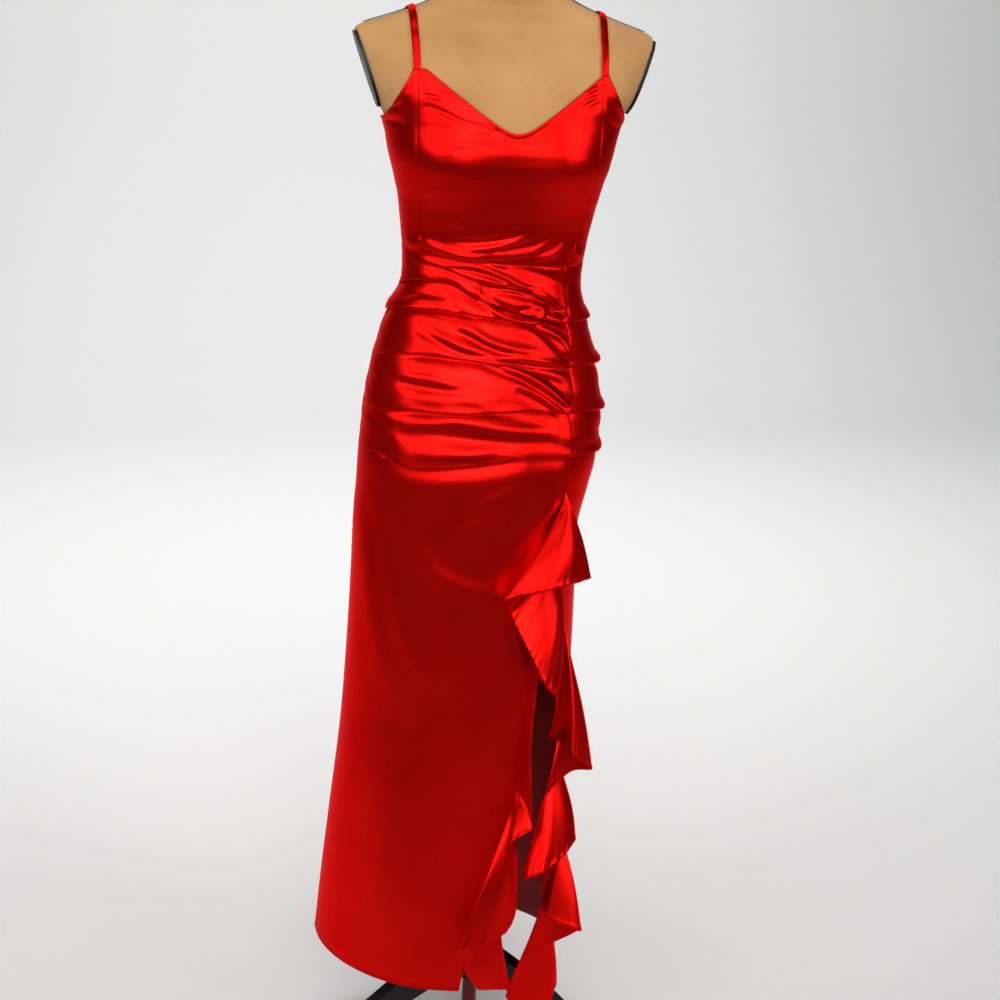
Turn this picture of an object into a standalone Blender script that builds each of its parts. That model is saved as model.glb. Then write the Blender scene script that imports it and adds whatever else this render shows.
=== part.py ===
"""A satin slip dress standing on a limbless dress form, on its pole and three legs.

Metres, +Z up. The form faces -Y, so +X is the wearer's left, where the skirt is slit.
The cloth is walls on one shared surface: horizontal sections from hem to neckline, each a rounded
oval with its own half-widths and depths. A panel is a patch of that surface between two seams.
"""

import math
from collections import namedtuple

import bmesh
import bpy
from mathutils import Matrix, Vector

MM = 0.001

# The pole's axis, beside the origin, so that the origin is the middle of the space the part takes.
AXIS = Vector((0.022, -0.047, 0.0))

WALL = 1.2 * MM  # thickness of the satin with its turned edge
GAP = 0.3 * MM  # between pieces at a seam
LIFT = 2.3 * MM  # what is stitched on a panel, from middle surface to middle surface

SLIT_Z = 0.904
WAIST_Z = 1.211
NECK_V_Z = 1.380
NECK_V_X = 0.005
NECK_ROUNDING = 20 * MM  # the point of the V is rounded over this much
SETTLE_STEPS = 12  # rounds in which an edge's height settles
TOP_Z = 1.456  # where the straps start
TOP_X = 0.121
STRAP_WIDE = 10 * MM
STRAP_THICK = 1.4 * MM
STRAP_CLEAR = 2.7 * MM  # over the shoulder cord
STRAP_SHOULDER_X = 0.126
STRAP_BACK_X = 0.100
STRAP_TURNS = (40.5, 207)  # degrees over the shoulder, from the front: where a strap starts and ends
UNDERARM_Z = 1.392
BACK_LOW_Z = 1.345

BUST_X = 0.085
BUST_Z = 1.335
BUST_REACH_Z = 0.045

FORM_BOTTOM_Z = 0.900
ARM_TOP = (0.1955, 1.500)  # x and z of two points on the flat that closes each armhole
ARM_LOW = (0.1580, 1.392)
ARM_PLATE = 4 * MM
ARM_PLATE_Z = (1.405, 1.4995)
SHOULDER_CORD_X = (0.086, 0.186)
SHOULDER_CORD_THICK = 1.0 * MM
SHOULDER_CORD_TURN = 1.6  # half of its width, in degrees round the chest
NECK_CAP_RADIUS = 0.052
NECK_CAP_THICK = 10 * MM
NECK_CAP_BEVEL = 4 * MM
CHEST_Z = 1.40  # the height that turns over the shoulder are measured from

SEAT_RADIUS = 0.065
SEAT_THICK = 8 * MM
POLE_RADIUS = 11 * MM
POLE_BOTTOM_Z = 0.030
HUB_RADIUS = 0.030
HUB_Z = (0.098, 0.158)
LEG_REACH = 0.300
LEG_THICK = 20 * MM
LEG_FOOT = 0.036  # length of the flat under each foot
LEG_UNDER_Z = (0.103, 0.076, 0.034, 0.0)  # a leg's lower edge, from the hub to the foot's flat
LEG_OVER_Z = (0.153, 0.124, 0.078, 0.036, 0.018)  # its upper edge, from the hub to the tip
LEG_BENDS = (0.110, 0.190)  # distances from the axis of the middle values of both
LEG_TURNS = (-69, 51, 171)  # degrees from the front, towards +X

Section = namedtuple("Section", "z left right front back square")
DRESS = [
    Section(0.150, 0.241, 0.132, 0.166, 0.167, 2.0),
    Section(0.210, 0.236, 0.132, 0.161, 0.163, 2.0),
    Section(0.290, 0.229, 0.132, 0.155, 0.158, 2.0),
    Section(0.380, 0.220, 0.132, 0.147, 0.152, 2.0),
    Section(0.540, 0.204, 0.131, 0.136, 0.142, 2.0),
    Section(0.700, 0.195, 0.130, 0.127, 0.132, 2.1),
    Section(0.830, 0.190, 0.129, 0.120, 0.126, 2.1),
    Section(0.890, 0.187, 0.140, 0.117, 0.124, 2.2),
    Section(0.945, 0.184, 0.151, 0.114, 0.121, 2.3),
    Section(1.000, 0.179, 0.153, 0.110, 0.117, 2.3),
    Section(1.070, 0.168, 0.143, 0.102, 0.107, 2.3),
    Section(1.140, 0.146, 0.124, 0.093, 0.095, 2.3),
    Section(1.185, 0.128, 0.116, 0.087, 0.087, 2.3),
    Section(1.230, 0.130, 0.121, 0.088, 0.084, 2.3),
    Section(1.290, 0.137, 0.133, 0.098, 0.089, 2.3),
    Section(1.345, 0.150, 0.149, 0.109, 0.096, 2.3),
    Section(1.392, 0.161, 0.161, 0.105, 0.097, 2.3),
    Section(1.430, 0.187, 0.187, 0.093, 0.096, 2.3),
    Section(1.470, 0.206, 0.206, 0.076, 0.088, 2.3),
]
FORM = [
    Section(0.900, 0.128, 0.128, 0.086, 0.096, 2.3),
    Section(0.925, 0.138, 0.138, 0.095, 0.107, 2.3),
    Section(0.960, 0.142, 0.142, 0.099, 0.112, 2.3),
    Section(1.000, 0.143, 0.143, 0.098, 0.110, 2.3),
    Section(1.070, 0.133, 0.133, 0.092, 0.098, 2.3),
    Section(1.140, 0.116, 0.116, 0.084, 0.086, 2.3),
    Section(1.185, 0.1095, 0.1095, 0.080, 0.080, 2.3),
    Section(1.230, 0.116, 0.116, 0.083, 0.079, 2.3),
    Section(1.290, 0.128, 0.128, 0.093, 0.084, 2.3),
    Section(1.345, 0.144, 0.144, 0.104, 0.091, 2.3),
    Section(1.392, 0.1565, 0.1565, 0.100, 0.092, 2.3),
    Section(1.430, 0.182, 0.182, 0.088, 0.091, 2.3),
    Section(1.465, 0.200, 0.200, 0.073, 0.084, 2.3),
    Section(1.490, 0.208, 0.208, 0.058, 0.070, 2.3),
    Section(1.505, 0.194, 0.194, 0.046, 0.056, 2.3),
    Section(1.520, 0.152, 0.152, 0.041, 0.050, 2.2),
    Section(1.535, 0.110, 0.110, 0.042, 0.050, 2.1),
    Section(1.550, 0.080, 0.080, 0.047, 0.053, 2.0),
    Section(1.565, 0.064, 0.064, 0.051, 0.055, 2.0),
    Section(1.590, 0.057, 0.057, 0.052, 0.055, 2.0),
    Section(1.620, 0.055, 0.055, 0.052, 0.055, 2.0),
]

# The hem's height at angles round the body: it hangs lowest at the back.
Hem = namedtuple("Hem", "degrees z")
HEM = [
    Hem(-90, 0.183),
    Hem(-55, 0.174),
    Hem(-20, 0.166),
    Hem(20, 0.166),
    Hem(90, 0.145),
    Hem(150, 0.122),
    Hem(215, 0.130),
    Hem(270, 0.183),
]

# The waist seam's height at angles round the body: it climbs towards one side.
Waist = namedtuple("Waist", "degrees z")
WAIST = [
    Waist(-90, 1.228),
    Waist(-45, 1.217),
    Waist(0, 1.211),
    Waist(45, 1.206),
    Waist(90, 1.209),
    Waist(180, 1.216),
    Waist(270, 1.228),
]

# Seams that run down the front: their x at each height.
Seam = namedtuple("Seam", "z x")
PRINCESS_LEFT = [
    Seam(1.200, -0.108),
    Seam(1.250, -0.110),
    Seam(1.306, -0.117),
    Seam(1.345, -0.121),
    Seam(TOP_Z, -TOP_X),
]
PRINCESS_RIGHT = [
    Seam(1.200, 0.080),
    Seam(1.250, 0.100),
    Seam(1.306, 0.112),
    Seam(1.345, 0.117),
    Seam(TOP_Z, TOP_X),
]
RUCHING = [
    Seam(SLIT_Z, 0.090),
    Seam(0.955, 0.095),
    Seam(1.032, 0.094),
    Seam(1.079, 0.091),
    Seam(1.151, 0.085),
    Seam(1.220, 0.080),
]
SLIT_FRONT = [
    Seam(0.150, -0.044),
    Seam(0.240, -0.026),
    Seam(0.326, 0.000),
    Seam(0.430, 0.024),
    Seam(0.520, 0.042),
    Seam(0.640, 0.058),
    Seam(0.750, 0.072),
    Seam(SLIT_Z, 0.090),
]
SLIT_SIDE = [
    Seam(0.150, 0.106),
    Seam(0.320, 0.101),
    Seam(0.560, 0.099),
    Seam(0.800, 0.092),
    Seam(SLIT_Z, 0.090),
]

# Tucks across the skirt front: the height of each fold at six angles round the body, in degrees,
# and how far it stands out where it is fullest and at the ruching seam.
TUCK_ANGLES = (-90, -62, -35, -10, 12, 36)
TUCK_SLOPE = ((0.22, 0.8), (0.6, 0.3))  # share of the way up to the next tuck, share of the swell left
PLAIN_SPACING = 0.8  # under 1, so that the lower skirt's rows lie closer together towards the tucks
Tuck = namedtuple("Tuck", "side hip left front right seam swell seam_swell")
FRONT_TUCKS = [
    Tuck(0.943, 0.951, 0.938, 0.946, 0.957, 0.955, 9 * MM, 6 * MM),
    Tuck(1.004, 1.011, 1.017, 1.018, 1.021, 1.014, 7 * MM, 4 * MM),
    Tuck(1.078, 1.087, 1.092, 1.087, 1.073, 1.026, 6 * MM, 4 * MM),
    Tuck(1.138, 1.149, 1.151, 1.145, 1.133, 1.084, 6 * MM, 4 * MM),
    Tuck(1.172, 1.186, 1.188, 1.166, 1.147, 1.134, 6 * MM, 5 * MM),
    Tuck(1.213, 1.210, 1.204, 1.189, 1.178, 1.153, 3 * MM, 4 * MM),
]
SideTuck = namedtuple("SideTuck", "seam side swell")
SIDE_TUCKS = [
    SideTuck(0.955, 0.949, 6 * MM),
    SideTuck(1.016, 1.006, 6 * MM),
    SideTuck(1.077, 1.072, 6 * MM),
    SideTuck(1.134, 1.135, 5 * MM),
]
TUCK_DROP = 3.5 * MM  # how far below its crest a fold is back on the body

# Ruffles: where each ruling leaves the slit's edge, and where its free edge hangs.
Ruling = namedtuple("Ruling", "seam x out z")
SIDE_RUFFLE = [
    Ruling(0.905, 0.129, 0.122, 0.785),
    Ruling(0.900, 0.092, 0.152, 0.787),
    Ruling(0.894, 0.051, 0.168, 0.783),
    Ruling(0.885, 0.000, 0.172, 0.773),
    Ruling(0.852, 0.015, 0.130, 0.741),
    Ruling(0.824, 0.031, 0.141, 0.709),
    Ruling(0.800, 0.047, 0.154, 0.679),
    Ruling(0.788, 0.064, 0.164, 0.644),
    Ruling(0.779, 0.083, 0.158, 0.615),
    Ruling(0.762, 0.083, 0.120, 0.544),
    Ruling(0.750, 0.095, 0.140, 0.547),
    Ruling(0.736, 0.110, 0.168, 0.537),
    Ruling(0.696, 0.139, 0.154, 0.511),
    Ruling(0.635, 0.114, 0.124, 0.492),
    Ruling(0.600, 0.077, 0.140, 0.461),
    Ruling(0.575, 0.044, 0.170, 0.350),
    Ruling(0.550, 0.067, 0.180, 0.361),
    Ruling(0.525, 0.100, 0.168, 0.380),
    Ruling(0.490, 0.123, 0.144, 0.397),
    Ruling(0.460, 0.104, 0.128, 0.390),
    Ruling(0.436, 0.080, 0.130, 0.302),
    Ruling(0.430, 0.085, 0.152, 0.276),
    Ruling(0.412, 0.129, 0.172, 0.263),
    Ruling(0.396, 0.137, 0.150, 0.252),
    Ruling(0.380, 0.101, 0.134, 0.222),
    Ruling(0.362, 0.059, 0.148, 0.214),
    Ruling(0.340, 0.029, 0.164, 0.156),
    Ruling(0.290, 0.063, 0.154, 0.130),
    Ruling(0.235, 0.097, 0.138, 0.122),
    Ruling(0.185, 0.112, 0.122, 0.143),
]
FRONT_RUFFLE = [
    Ruling(0.680, 0.066, 0.123, 0.668),
    Ruling(0.645, 0.058, 0.132, 0.625),
    Ruling(0.605, 0.052, 0.145, 0.575),
    Ruling(0.560, 0.049, 0.160, 0.523),
    Ruling(0.520, 0.050, 0.174, 0.481),
    Ruling(0.486, 0.052, 0.180, 0.436),
    Ruling(0.470, 0.021, 0.190, 0.419),
    Ruling(0.464, 0.028, 0.176, 0.389),
    Ruling(0.459, 0.030, 0.172, 0.350),
    Ruling(0.454, 0.037, 0.172, 0.308),
    Ruling(0.448, 0.023, 0.180, 0.273),
    Ruling(0.441, -0.008, 0.196, 0.263),
    Ruling(0.432, -0.057, 0.204, 0.256),
    Ruling(0.402, -0.029, 0.190, 0.226),
    Ruling(0.361, 0.014, 0.190, 0.212),
    Ruling(0.300, 0.033, 0.178, 0.175),
    Ruling(0.200, -0.014, 0.173, 0.174),
]
RUFFLE_BULGE = 8 * MM  # how far a ruling bows out between the seam and its free edge
RUFFLE_STEPS = 3  # lines of points between two rulings of a table
RUFFLE_ACROSS = 4
RUFFLE_WALL = 1.0 * MM


def material(name, colour, roughness, metallic=0.0):
    made = bpy.data.materials.new(name)
    made.use_nodes = True
    shader = made.node_tree.nodes["Principled BSDF"]
    shader.inputs["Base Color"].default_value = (*colour, 1.0)
    shader.inputs["Roughness"].default_value = roughness
    shader.inputs["Metallic"].default_value = metallic
    made.diffuse_color = (*colour, 1.0)
    return made


class Curve:
    """A smooth curve through a table's points that never overshoots them."""

    def __init__(self, places, values):
        self.places = list(places)
        self.values = list(values)
        steps = [
            (self.values[i + 1] - self.values[i]) / (self.places[i + 1] - self.places[i])
            for i in range(len(self.places) - 1)
        ]
        self.slopes = [steps[0]]
        for before, after in zip(steps, steps[1:]):
            same_way = before * after > 0
            self.slopes.append(2 * before * after / (before + after) if same_way else 0.0)
        self.slopes.append(steps[-1])

    def __call__(self, place):
        place = min(max(place, self.places[0]), self.places[-1])
        i = 0
        while i < len(self.places) - 2 and place > self.places[i + 1]:
            i += 1
        width = self.places[i + 1] - self.places[i]
        t = (place - self.places[i]) / width
        return (
            (1 + 2 * t) * (1 - t) ** 2 * self.values[i]
            + t * (1 - t) ** 2 * width * self.slopes[i]
            + t * t * (3 - 2 * t) * self.values[i + 1]
            + t * t * (t - 1) * width * self.slopes[i + 1]
        )


class Body:
    """A surface of rounded oval sections. An angle of 0 is the front and 90 degrees is +X."""

    def __init__(self, sections, bust_swell, bust_reach_x):
        heights = [s.z for s in sections]
        for column in ("left", "right", "front", "back", "square"):
            setattr(self, column, Curve(heights, [getattr(s, column) for s in sections]))
        self.bust_swell = bust_swell
        self.bust_reach_x = bust_reach_x

    def bust(self, x, z):
        """The two cups, as soft swellings of the front."""
        across = sum(
            math.exp(-(((x - side * BUST_X) / self.bust_reach_x) ** 2)) for side in (-1, 1)
        )
        return self.bust_swell * across * math.exp(-(((z - BUST_Z) / BUST_REACH_Z) ** 2))

    def point(self, angle, z):
        sine, cosine = math.sin(angle), math.cos(angle)
        half = self.right(z) if sine > 0 else self.left(z)
        depth = self.front(z) if cosine > 0 else self.back(z)
        power = 2 / self.square(z)
        x = math.copysign(abs(sine) ** power, sine) * half
        y = -math.copysign(abs(cosine) ** power, cosine) * depth
        if cosine > 0:
            y -= self.bust(x, z) * min(1.0, 3 * cosine)
        return Vector((x, y, z))

    def normal(self, angle, z):
        step = 0.02
        across = self.point(angle + step, z) - self.point(angle - step, z)
        up = self.point(angle, z + 2 * MM) - self.point(angle, z - 2 * MM)
        return across.cross(up).normalized()

    def angle(self, x, z):
        """The angle on the front at which the surface has this x."""
        half = self.right(z) if x > 0 else self.left(z)
        share = min(abs(x) / half, 1.0) ** (self.square(z) / 2)
        return math.copysign(math.asin(share), x)

    def inside(self, x, y, z):
        half = self.right(z) if x > 0 else self.left(z)
        depth = self.front(z) + self.bust(x, z) if y < 0 else self.back(z)
        square = self.square(z)
        return abs(x / half) ** square + abs(y / depth) ** square < 1


dress = Body(DRESS, 11 * MM, 0.055)
form = Body(FORM, 9 * MM, 0.045)


def seam_angle(table):
    """The seam as a function from a height to the angle where it lies."""
    across = Curve([s.z for s in table], [s.x for s in table])
    return lambda z: dress.angle(across(z), z)


princess_left = seam_angle(PRINCESS_LEFT)
princess_right = seam_angle(PRINCESS_RIGHT)
ruching = seam_angle(RUCHING)
slit_front = seam_angle(SLIT_FRONT)
slit_side = seam_angle(SLIT_SIDE)
QUARTER = math.pi / 2


def mix(a, b, share):
    return a + (b - a) * share


hem = Curve([math.radians(h.degrees) for h in HEM], [h.z for h in HEM])
waist = Curve([math.radians(w.degrees) for w in WAIST], [w.z for w in WAIST])


def settle(edge, angle):
    """The height at this angle of an edge that is given as a height from x."""
    z = TOP_Z
    for _ in range(SETTLE_STEPS):
        z = mix(z, edge(dress.point(angle, z).x), 0.5)
    return z


def neckline(angle):
    reach = math.hypot(TOP_X - STRAP_WIDE / 2, NECK_ROUNDING) - NECK_ROUNDING
    slope = (TOP_Z - NECK_V_Z) / reach

    def edge(x):
        low = math.hypot(x - NECK_V_X, NECK_ROUNDING) - NECK_ROUNDING
        return min(TOP_Z, NECK_V_Z + slope * low)

    return settle(edge, angle)


def armhole(angle):
    start = TOP_X + STRAP_WIDE / 2
    slope = (TOP_Z - UNDERARM_Z) / (dress.right(UNDERARM_Z) - start)
    return settle(lambda x: min(TOP_Z, TOP_Z - slope * (abs(x) - start)), angle)


def back_top(angle):
    return mix(BACK_LOW_Z, UNDERARM_Z, abs(math.sin(angle)) ** 3)


Line = namedtuple("Line", "height out")  # both are functions of the angle


def level_lines(low, high, count):
    """Evenly spaced lines from one edge to another, with a seam's gap kept at both."""

    def line(share):
        return Line(
            lambda angle: mix(low(angle) + GAP / 2, high(angle) - GAP / 2, share),
            lambda angle: 0.0,
        )

    return [line(i / count) for i in range(count + 1)]


def skirt_lines(tucks, top, plain_rows):
    """The skirt's lines from hem to waist. Above each crest the cloth lies back, and it swells down
    towards the crest; just under the crest it drops back on to the body."""
    lines = []
    drop = TUCK_DROP
    low_height = tucks[0][0]
    for i in range(plain_rows):
        share = (i / plain_rows) ** PLAIN_SPACING
        lines.append(
            Line(
                lambda a, s=share: mix(hem(a), low_height(a) - drop, s),
                lambda a: 0.0,
            )
        )
    for i, (height, swell) in enumerate(tucks):
        above = tucks[i + 1][0] if i + 1 < len(tucks) else None
        roof = (lambda a, n=above: n(a) - drop) if above else (lambda a: top(a) - GAP / 2)
        lines.append(Line(lambda a, h=height: h(a) - drop, lambda a: 0.0))
        lines.append(Line(height, swell))
        for share, fullness in TUCK_SLOPE:
            lines.append(
                Line(
                    lambda a, h=height, r=roof, s=share: mix(h(a), r(a), s),
                    lambda a, w=swell, f=fullness: w(a) * f,
                )
            )
    lines.append(Line(lambda a: top(a) - GAP / 2, lambda a: 0.0))
    return lines


def front_tucks():
    made = []
    for tuck in FRONT_TUCKS:
        heights = Curve([math.radians(a) for a in TUCK_ANGLES], tuck[: len(TUCK_ANGLES)])
        swells = Curve(
            [math.radians(a) for a in (-90, -70, -25, 36)],
            [0.0, tuck.swell * 0.5, tuck.swell, tuck.seam_swell],
        )
        made.append((heights, swells))
    return made


def side_tucks():
    made = []
    for tuck in SIDE_TUCKS:
        heights = Curve([math.radians(36), QUARTER], [tuck.seam, tuck.side])
        swells = Curve(
            [math.radians(a) for a in (30, 50, 78, 90)],
            [tuck.swell * 0.5, tuck.swell * 0.7, tuck.swell, tuck.swell * 0.8],
        )
        made.append((heights, swells))
    return made


def back_tucks():
    """The side tucks go on past the side seam and die away towards the back."""
    made = []
    for tuck in SIDE_TUCKS:
        heights = Curve(
            [math.radians(a) for a in (90, 140, 270)],
            [tuck.side, tuck.side + 3 * MM, tuck.side + 8 * MM],
        )
        swells = Curve(
            [math.radians(a) for a in (90, 140, 220, 270)],
            [tuck.swell * 0.8, tuck.swell * 0.5, 0.0, 0.0],
        )
        made.append((heights, swells))
    return made


def panel_grid(left, right, lines, columns):
    """Points and normals of a patch of the dress between two seams, a row for each line."""
    grid = []
    for line in lines:
        row = []
        for i in range(columns + 1):
            share = i / columns
            z = line.height(0.5 * (left(WAIST_Z) + right(WAIST_Z)))
            for _ in range(10):
                angle = mix(left(z), right(z), share)
                z = line.height(angle)
            arc = (dress.point(angle + 0.01, z) - dress.point(angle - 0.01, z)).length / 0.02
            if i in (0, columns):
                angle += math.copysign(GAP / 2 / arc, 0.5 - share)
            normal = dress.normal(angle, z)
            row.append((dress.point(angle, z) + normal * line.out(angle), normal))
        grid.append(row)
    return grid


def finish(name, mesh, surface):
    mesh.materials.append(surface)
    mesh.shade_smooth()
    mesh.set_sharp_from_angle(angle=math.radians(40))
    made = bpy.data.objects.new(name, mesh)
    bpy.context.scene.collection.objects.link(made)
    made.parent = stand_axis
    return made


def mesh_from(build, name):
    """A mesh of one closed body, its faces turned out."""
    bmesh.ops.recalc_face_normals(build, faces=build.faces)
    mesh = bpy.data.meshes.new(name)
    build.to_mesh(mesh)
    build.free()
    return mesh


def wall(name, grid, surface, thickness=WALL):
    """A closed wall, half of its thickness on each side of a grid of points with normals."""
    build = bmesh.new()
    half = thickness / 2
    outer = [[build.verts.new(p + n * half) for p, n in row] for row in grid]
    inner = [[build.verts.new(p - n * half) for p, n in row] for row in grid]
    rows, columns = len(grid) - 1, len(grid[0]) - 1
    for i in range(rows):
        for j in range(columns):
            build.faces.new(
                (outer[i][j], outer[i][j + 1], outer[i + 1][j + 1], outer[i + 1][j])
            )
            build.faces.new(
                (inner[i][j], inner[i + 1][j], inner[i + 1][j + 1], inner[i][j + 1])
            )
    rim = [(0, j) for j in range(columns)]
    rim += [(i, columns) for i in range(rows)]
    rim += [(rows, j) for j in range(columns, 0, -1)]
    rim += [(i, 0) for i in range(rows, 0, -1)]
    for (i, j), (k, m) in zip(rim, rim[1:] + rim[:1]):
        build.faces.new((outer[i][j], inner[i][j], inner[k][m], outer[k][m]))
    return finish(name, mesh_from(build, name), surface)


def turned(name, profile, surface, sides=24):
    """A solid turned about the pole's axis, from a closed outline of (radius, z)."""
    build = bmesh.new()
    rings = []
    for radius, z in profile:
        if radius == 0:
            rings.append([build.verts.new((0, 0, z))])
            continue
        turns = [math.tau * k / sides for k in range(sides)]
        rings.append(
            [build.verts.new((radius * math.cos(t), radius * math.sin(t), z)) for t in turns]
        )
    for low, high in zip(rings, rings[1:] + rings[:1]):
        if len(low) == 1 and len(high) == 1:
            continue
        for k in range(sides):
            corners = [low[k % len(low)], low[(k + 1) % len(low)]]
            corners += [high[(k + 1) % len(high)], high[k % len(high)]]
            build.faces.new(list(dict.fromkeys(corners)))
    return finish(name, mesh_from(build, name), surface)


# --- bodice -------------------------------------------------------------------------------------


def side_left(z):
    return -QUARTER


def side_right(z):
    return QUARTER


def side_left_from_behind(z):
    return 3 * QUARTER


def bodice():
    front = level_lines(waist, neckline, 14)
    side = level_lines(waist, armhole, 12)
    back = level_lines(waist, back_top, 8)
    wall("bodice_front", panel_grid(princess_left, princess_right, front, 16), satin)
    wall("bodice_side_front_left", panel_grid(side_left, princess_left, side, 6), satin)
    wall("bodice_side_front_right", panel_grid(princess_right, side_right, side, 6), satin)
    wall("bodice_back", panel_grid(side_right, side_left_from_behind, back, 12), satin)


# --- skirt --------------------------------------------------------------------------------------


def front_edge(z):
    return ruching(z) if z > SLIT_Z else slit_front(z)


def side_edge(z):
    return ruching(z) if z > SLIT_Z else slit_side(z)


def skirt():
    front = skirt_lines(front_tucks(), waist, 9)
    side = skirt_lines(side_tucks(), waist, 11)
    back = skirt_lines(back_tucks(), waist, 8)
    wall("skirt_front", panel_grid(side_left, front_edge, front, 18), satin)
    wall("skirt_side", panel_grid(side_edge, side_right, side, 5), satin)
    wall("skirt_back", panel_grid(side_right, side_left_from_behind, back, 11), satin)


class Ruffle:
    """Rulings from the slit's edge to a free edge that swings from side to side."""

    def __init__(self, table, seam):
        places = list(range(len(table)))
        self.columns = [Curve(places, [getattr(r, c) for r in table]) for c in Ruling._fields]
        self.seam = seam
        self.last = places[-1]

    def point(self, place, share):
        """The point this share of the way along the ruling at this place in the table."""
        seam_z, x, out, z = (column(place) for column in self.columns)
        angle = self.seam(seam_z)
        normal = dress.normal(angle, seam_z)
        start = dress.point(angle, seam_z) + normal * LIFT
        end = Vector((x, -out, z))
        bulge = RUFFLE_BULGE * math.sin(math.pi * share) * min(1.0, (end - start).length / 0.1)
        return start.lerp(end, share) + normal * bulge

    def normal(self, place, share):
        step = 0.08
        before, after = max(place - step, 0), min(place + step, self.last)
        low, high = max(share - step, 0), min(share + step, 1)
        along = self.point(after, share) - self.point(before, share)
        across = self.point(place, high) - self.point(place, low)
        return across.cross(along).normalized()

    def grid(self):
        rows = self.last * RUFFLE_STEPS
        return [
            [
                (self.point(i / RUFFLE_STEPS, j / RUFFLE_ACROSS),
                 self.normal(i / RUFFLE_STEPS, j / RUFFLE_ACROSS))
                for j in range(RUFFLE_ACROSS + 1)
            ]
            for i in range(rows + 1)
        ]


# --- straps -------------------------------------------------------------------------------------


def form_surface(x, turn):
    """The form's point in the plane of this x, in a direction from the middle of the chest."""
    middle = Vector((x, 0.0, CHEST_Z))
    way = Vector((0.0, -math.cos(turn), math.sin(turn)))
    near, far = 0.0, 0.3
    for _ in range(40):
        half = (near + far) / 2
        p = middle + way * half
        if form.inside(*p):
            near = half
        else:
            far = half
    return middle + way * near


def strap(side, name):
    """A flat band over the shoulder. It lies along the form's slope from side to side."""
    steps = 26
    turns = [math.radians(turn) for turn in STRAP_TURNS]
    rise = STRAP_THICK / 2 + STRAP_CLEAR
    xs = Curve([0, 0.5, 1], [TOP_X, STRAP_SHOULDER_X, STRAP_BACK_X])
    grid = []
    for i in range(steps + 1):
        x = side * xs(i / steps)
        turn = mix(*turns, i / steps)
        inner, outer = (form_surface(x + side * step, turn) for step in (-4 * MM, 4 * MM))
        across = (outer - inner).normalized()
        before, after = (form_surface(x, turn + step) for step in (-0.03, 0.03))
        normal = (across * side).cross(after - before).normalized()
        centre = form_surface(x, turn) + normal * rise
        shares = (-0.5, 0.0, 0.5)
        grid.append([(centre + across * STRAP_WIDE * share, normal) for share in shares])
    wall(name, grid, satin, thickness=STRAP_THICK)


# --- dress form ---------------------------------------------------------------------------------


def arm_x(z):
    """How far out the flat that closes each armhole lies at this height."""
    (high_x, high_z), (low_x, low_z) = ARM_TOP, ARM_LOW
    return mix(low_x, high_x, (z - low_z) / (high_z - low_z))


def flat_depths(z):
    """The front and back y of that flat, or None where the form is narrower than it."""
    half, reach = form.right(z), arm_x(z)
    if half <= reach or z < ARM_LOW[1]:
        return None
    square = form.square(z)
    share = (1 - (reach / half) ** square) ** (1 / square)
    return -share * form.front(z), share * form.back(z)


def form_ring(z):
    """Points round the form at one height: front, flat at +X, back, flat at -X."""
    around, along = 8, 4  # steps in a quarter of the oval, and across a flat
    depths = flat_depths(z)
    edge = QUARTER - math.radians(6)
    if depths:
        share = (arm_x(z) / form.right(z)) ** (form.square(z) / 2)
        edge = min(edge, math.asin(share))
    front = [form.point(edge * k / around, z) for k in range(around)]
    back = [form.point(math.pi - edge * k / around, z) for k in range(around - 1, -1, -1)]
    start, end = form.point(edge, z), form.point(math.pi - edge, z)
    side = []
    for k in range(along + 1):
        if depths:
            side.append(start.lerp(end, k / along))
        else:
            side.append(form.point(mix(edge, math.pi - edge, k / along), z))
    right = front + side + back
    left = [Vector((-p.x, p.y, p.z)) for p in right[-2:0:-1]]
    return right + left


def form_body():
    build = bmesh.new()
    heights = []
    for low, high in zip(FORM, FORM[1:]):
        steps = 2 if high.z > 1.2 else 1
        heights += [mix(low.z, high.z, i / steps) for i in range(steps)]
    heights.append(FORM[-1].z)
    rings = [[build.verts.new(p) for p in form_ring(z)] for z in heights]
    for low, high in zip(rings, rings[1:]):
        for k in range(len(low)):
            n = (k + 1) % len(low)
            build.faces.new((low[k], low[n], high[n], high[k]))
    build.faces.new(rings[0][::-1])
    build.faces.new(rings[-1])
    finish("form_body", mesh_from(build, "form_body"), linen)


def arm_plate(side, name):
    """A flat plate with the armhole's outline, just clear of the form."""
    steps = 10
    low, high = ARM_PLATE_Z
    outline = []
    for k in range(steps + 1):
        z = mix(low, high, k / steps)
        outline.append(Vector((side * arm_x(z), flat_depths(z)[0], z)))
    for k in range(steps, -1, -1):
        z = mix(low, high, k / steps)
        outline.append(Vector((side * arm_x(z), flat_depths(z)[1], z)))
    (high_x, high_z), (low_x, low_z) = ARM_TOP, ARM_LOW
    normal = Vector((side * (high_z - low_z), 0, low_x - high_x)).normalized()
    build = bmesh.new()
    inner = [build.verts.new(p + normal * GAP) for p in outline]
    outer = [build.verts.new(p + normal * (GAP + ARM_PLATE)) for p in outline]
    build.faces.new(inner)
    build.faces.new(outer[::-1])
    for k in range(len(outline)):
        n = (k + 1) % len(outline)
        build.faces.new((inner[n], inner[k], outer[k], outer[n]))
    finish(name, mesh_from(build, name), gloss_black)


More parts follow.
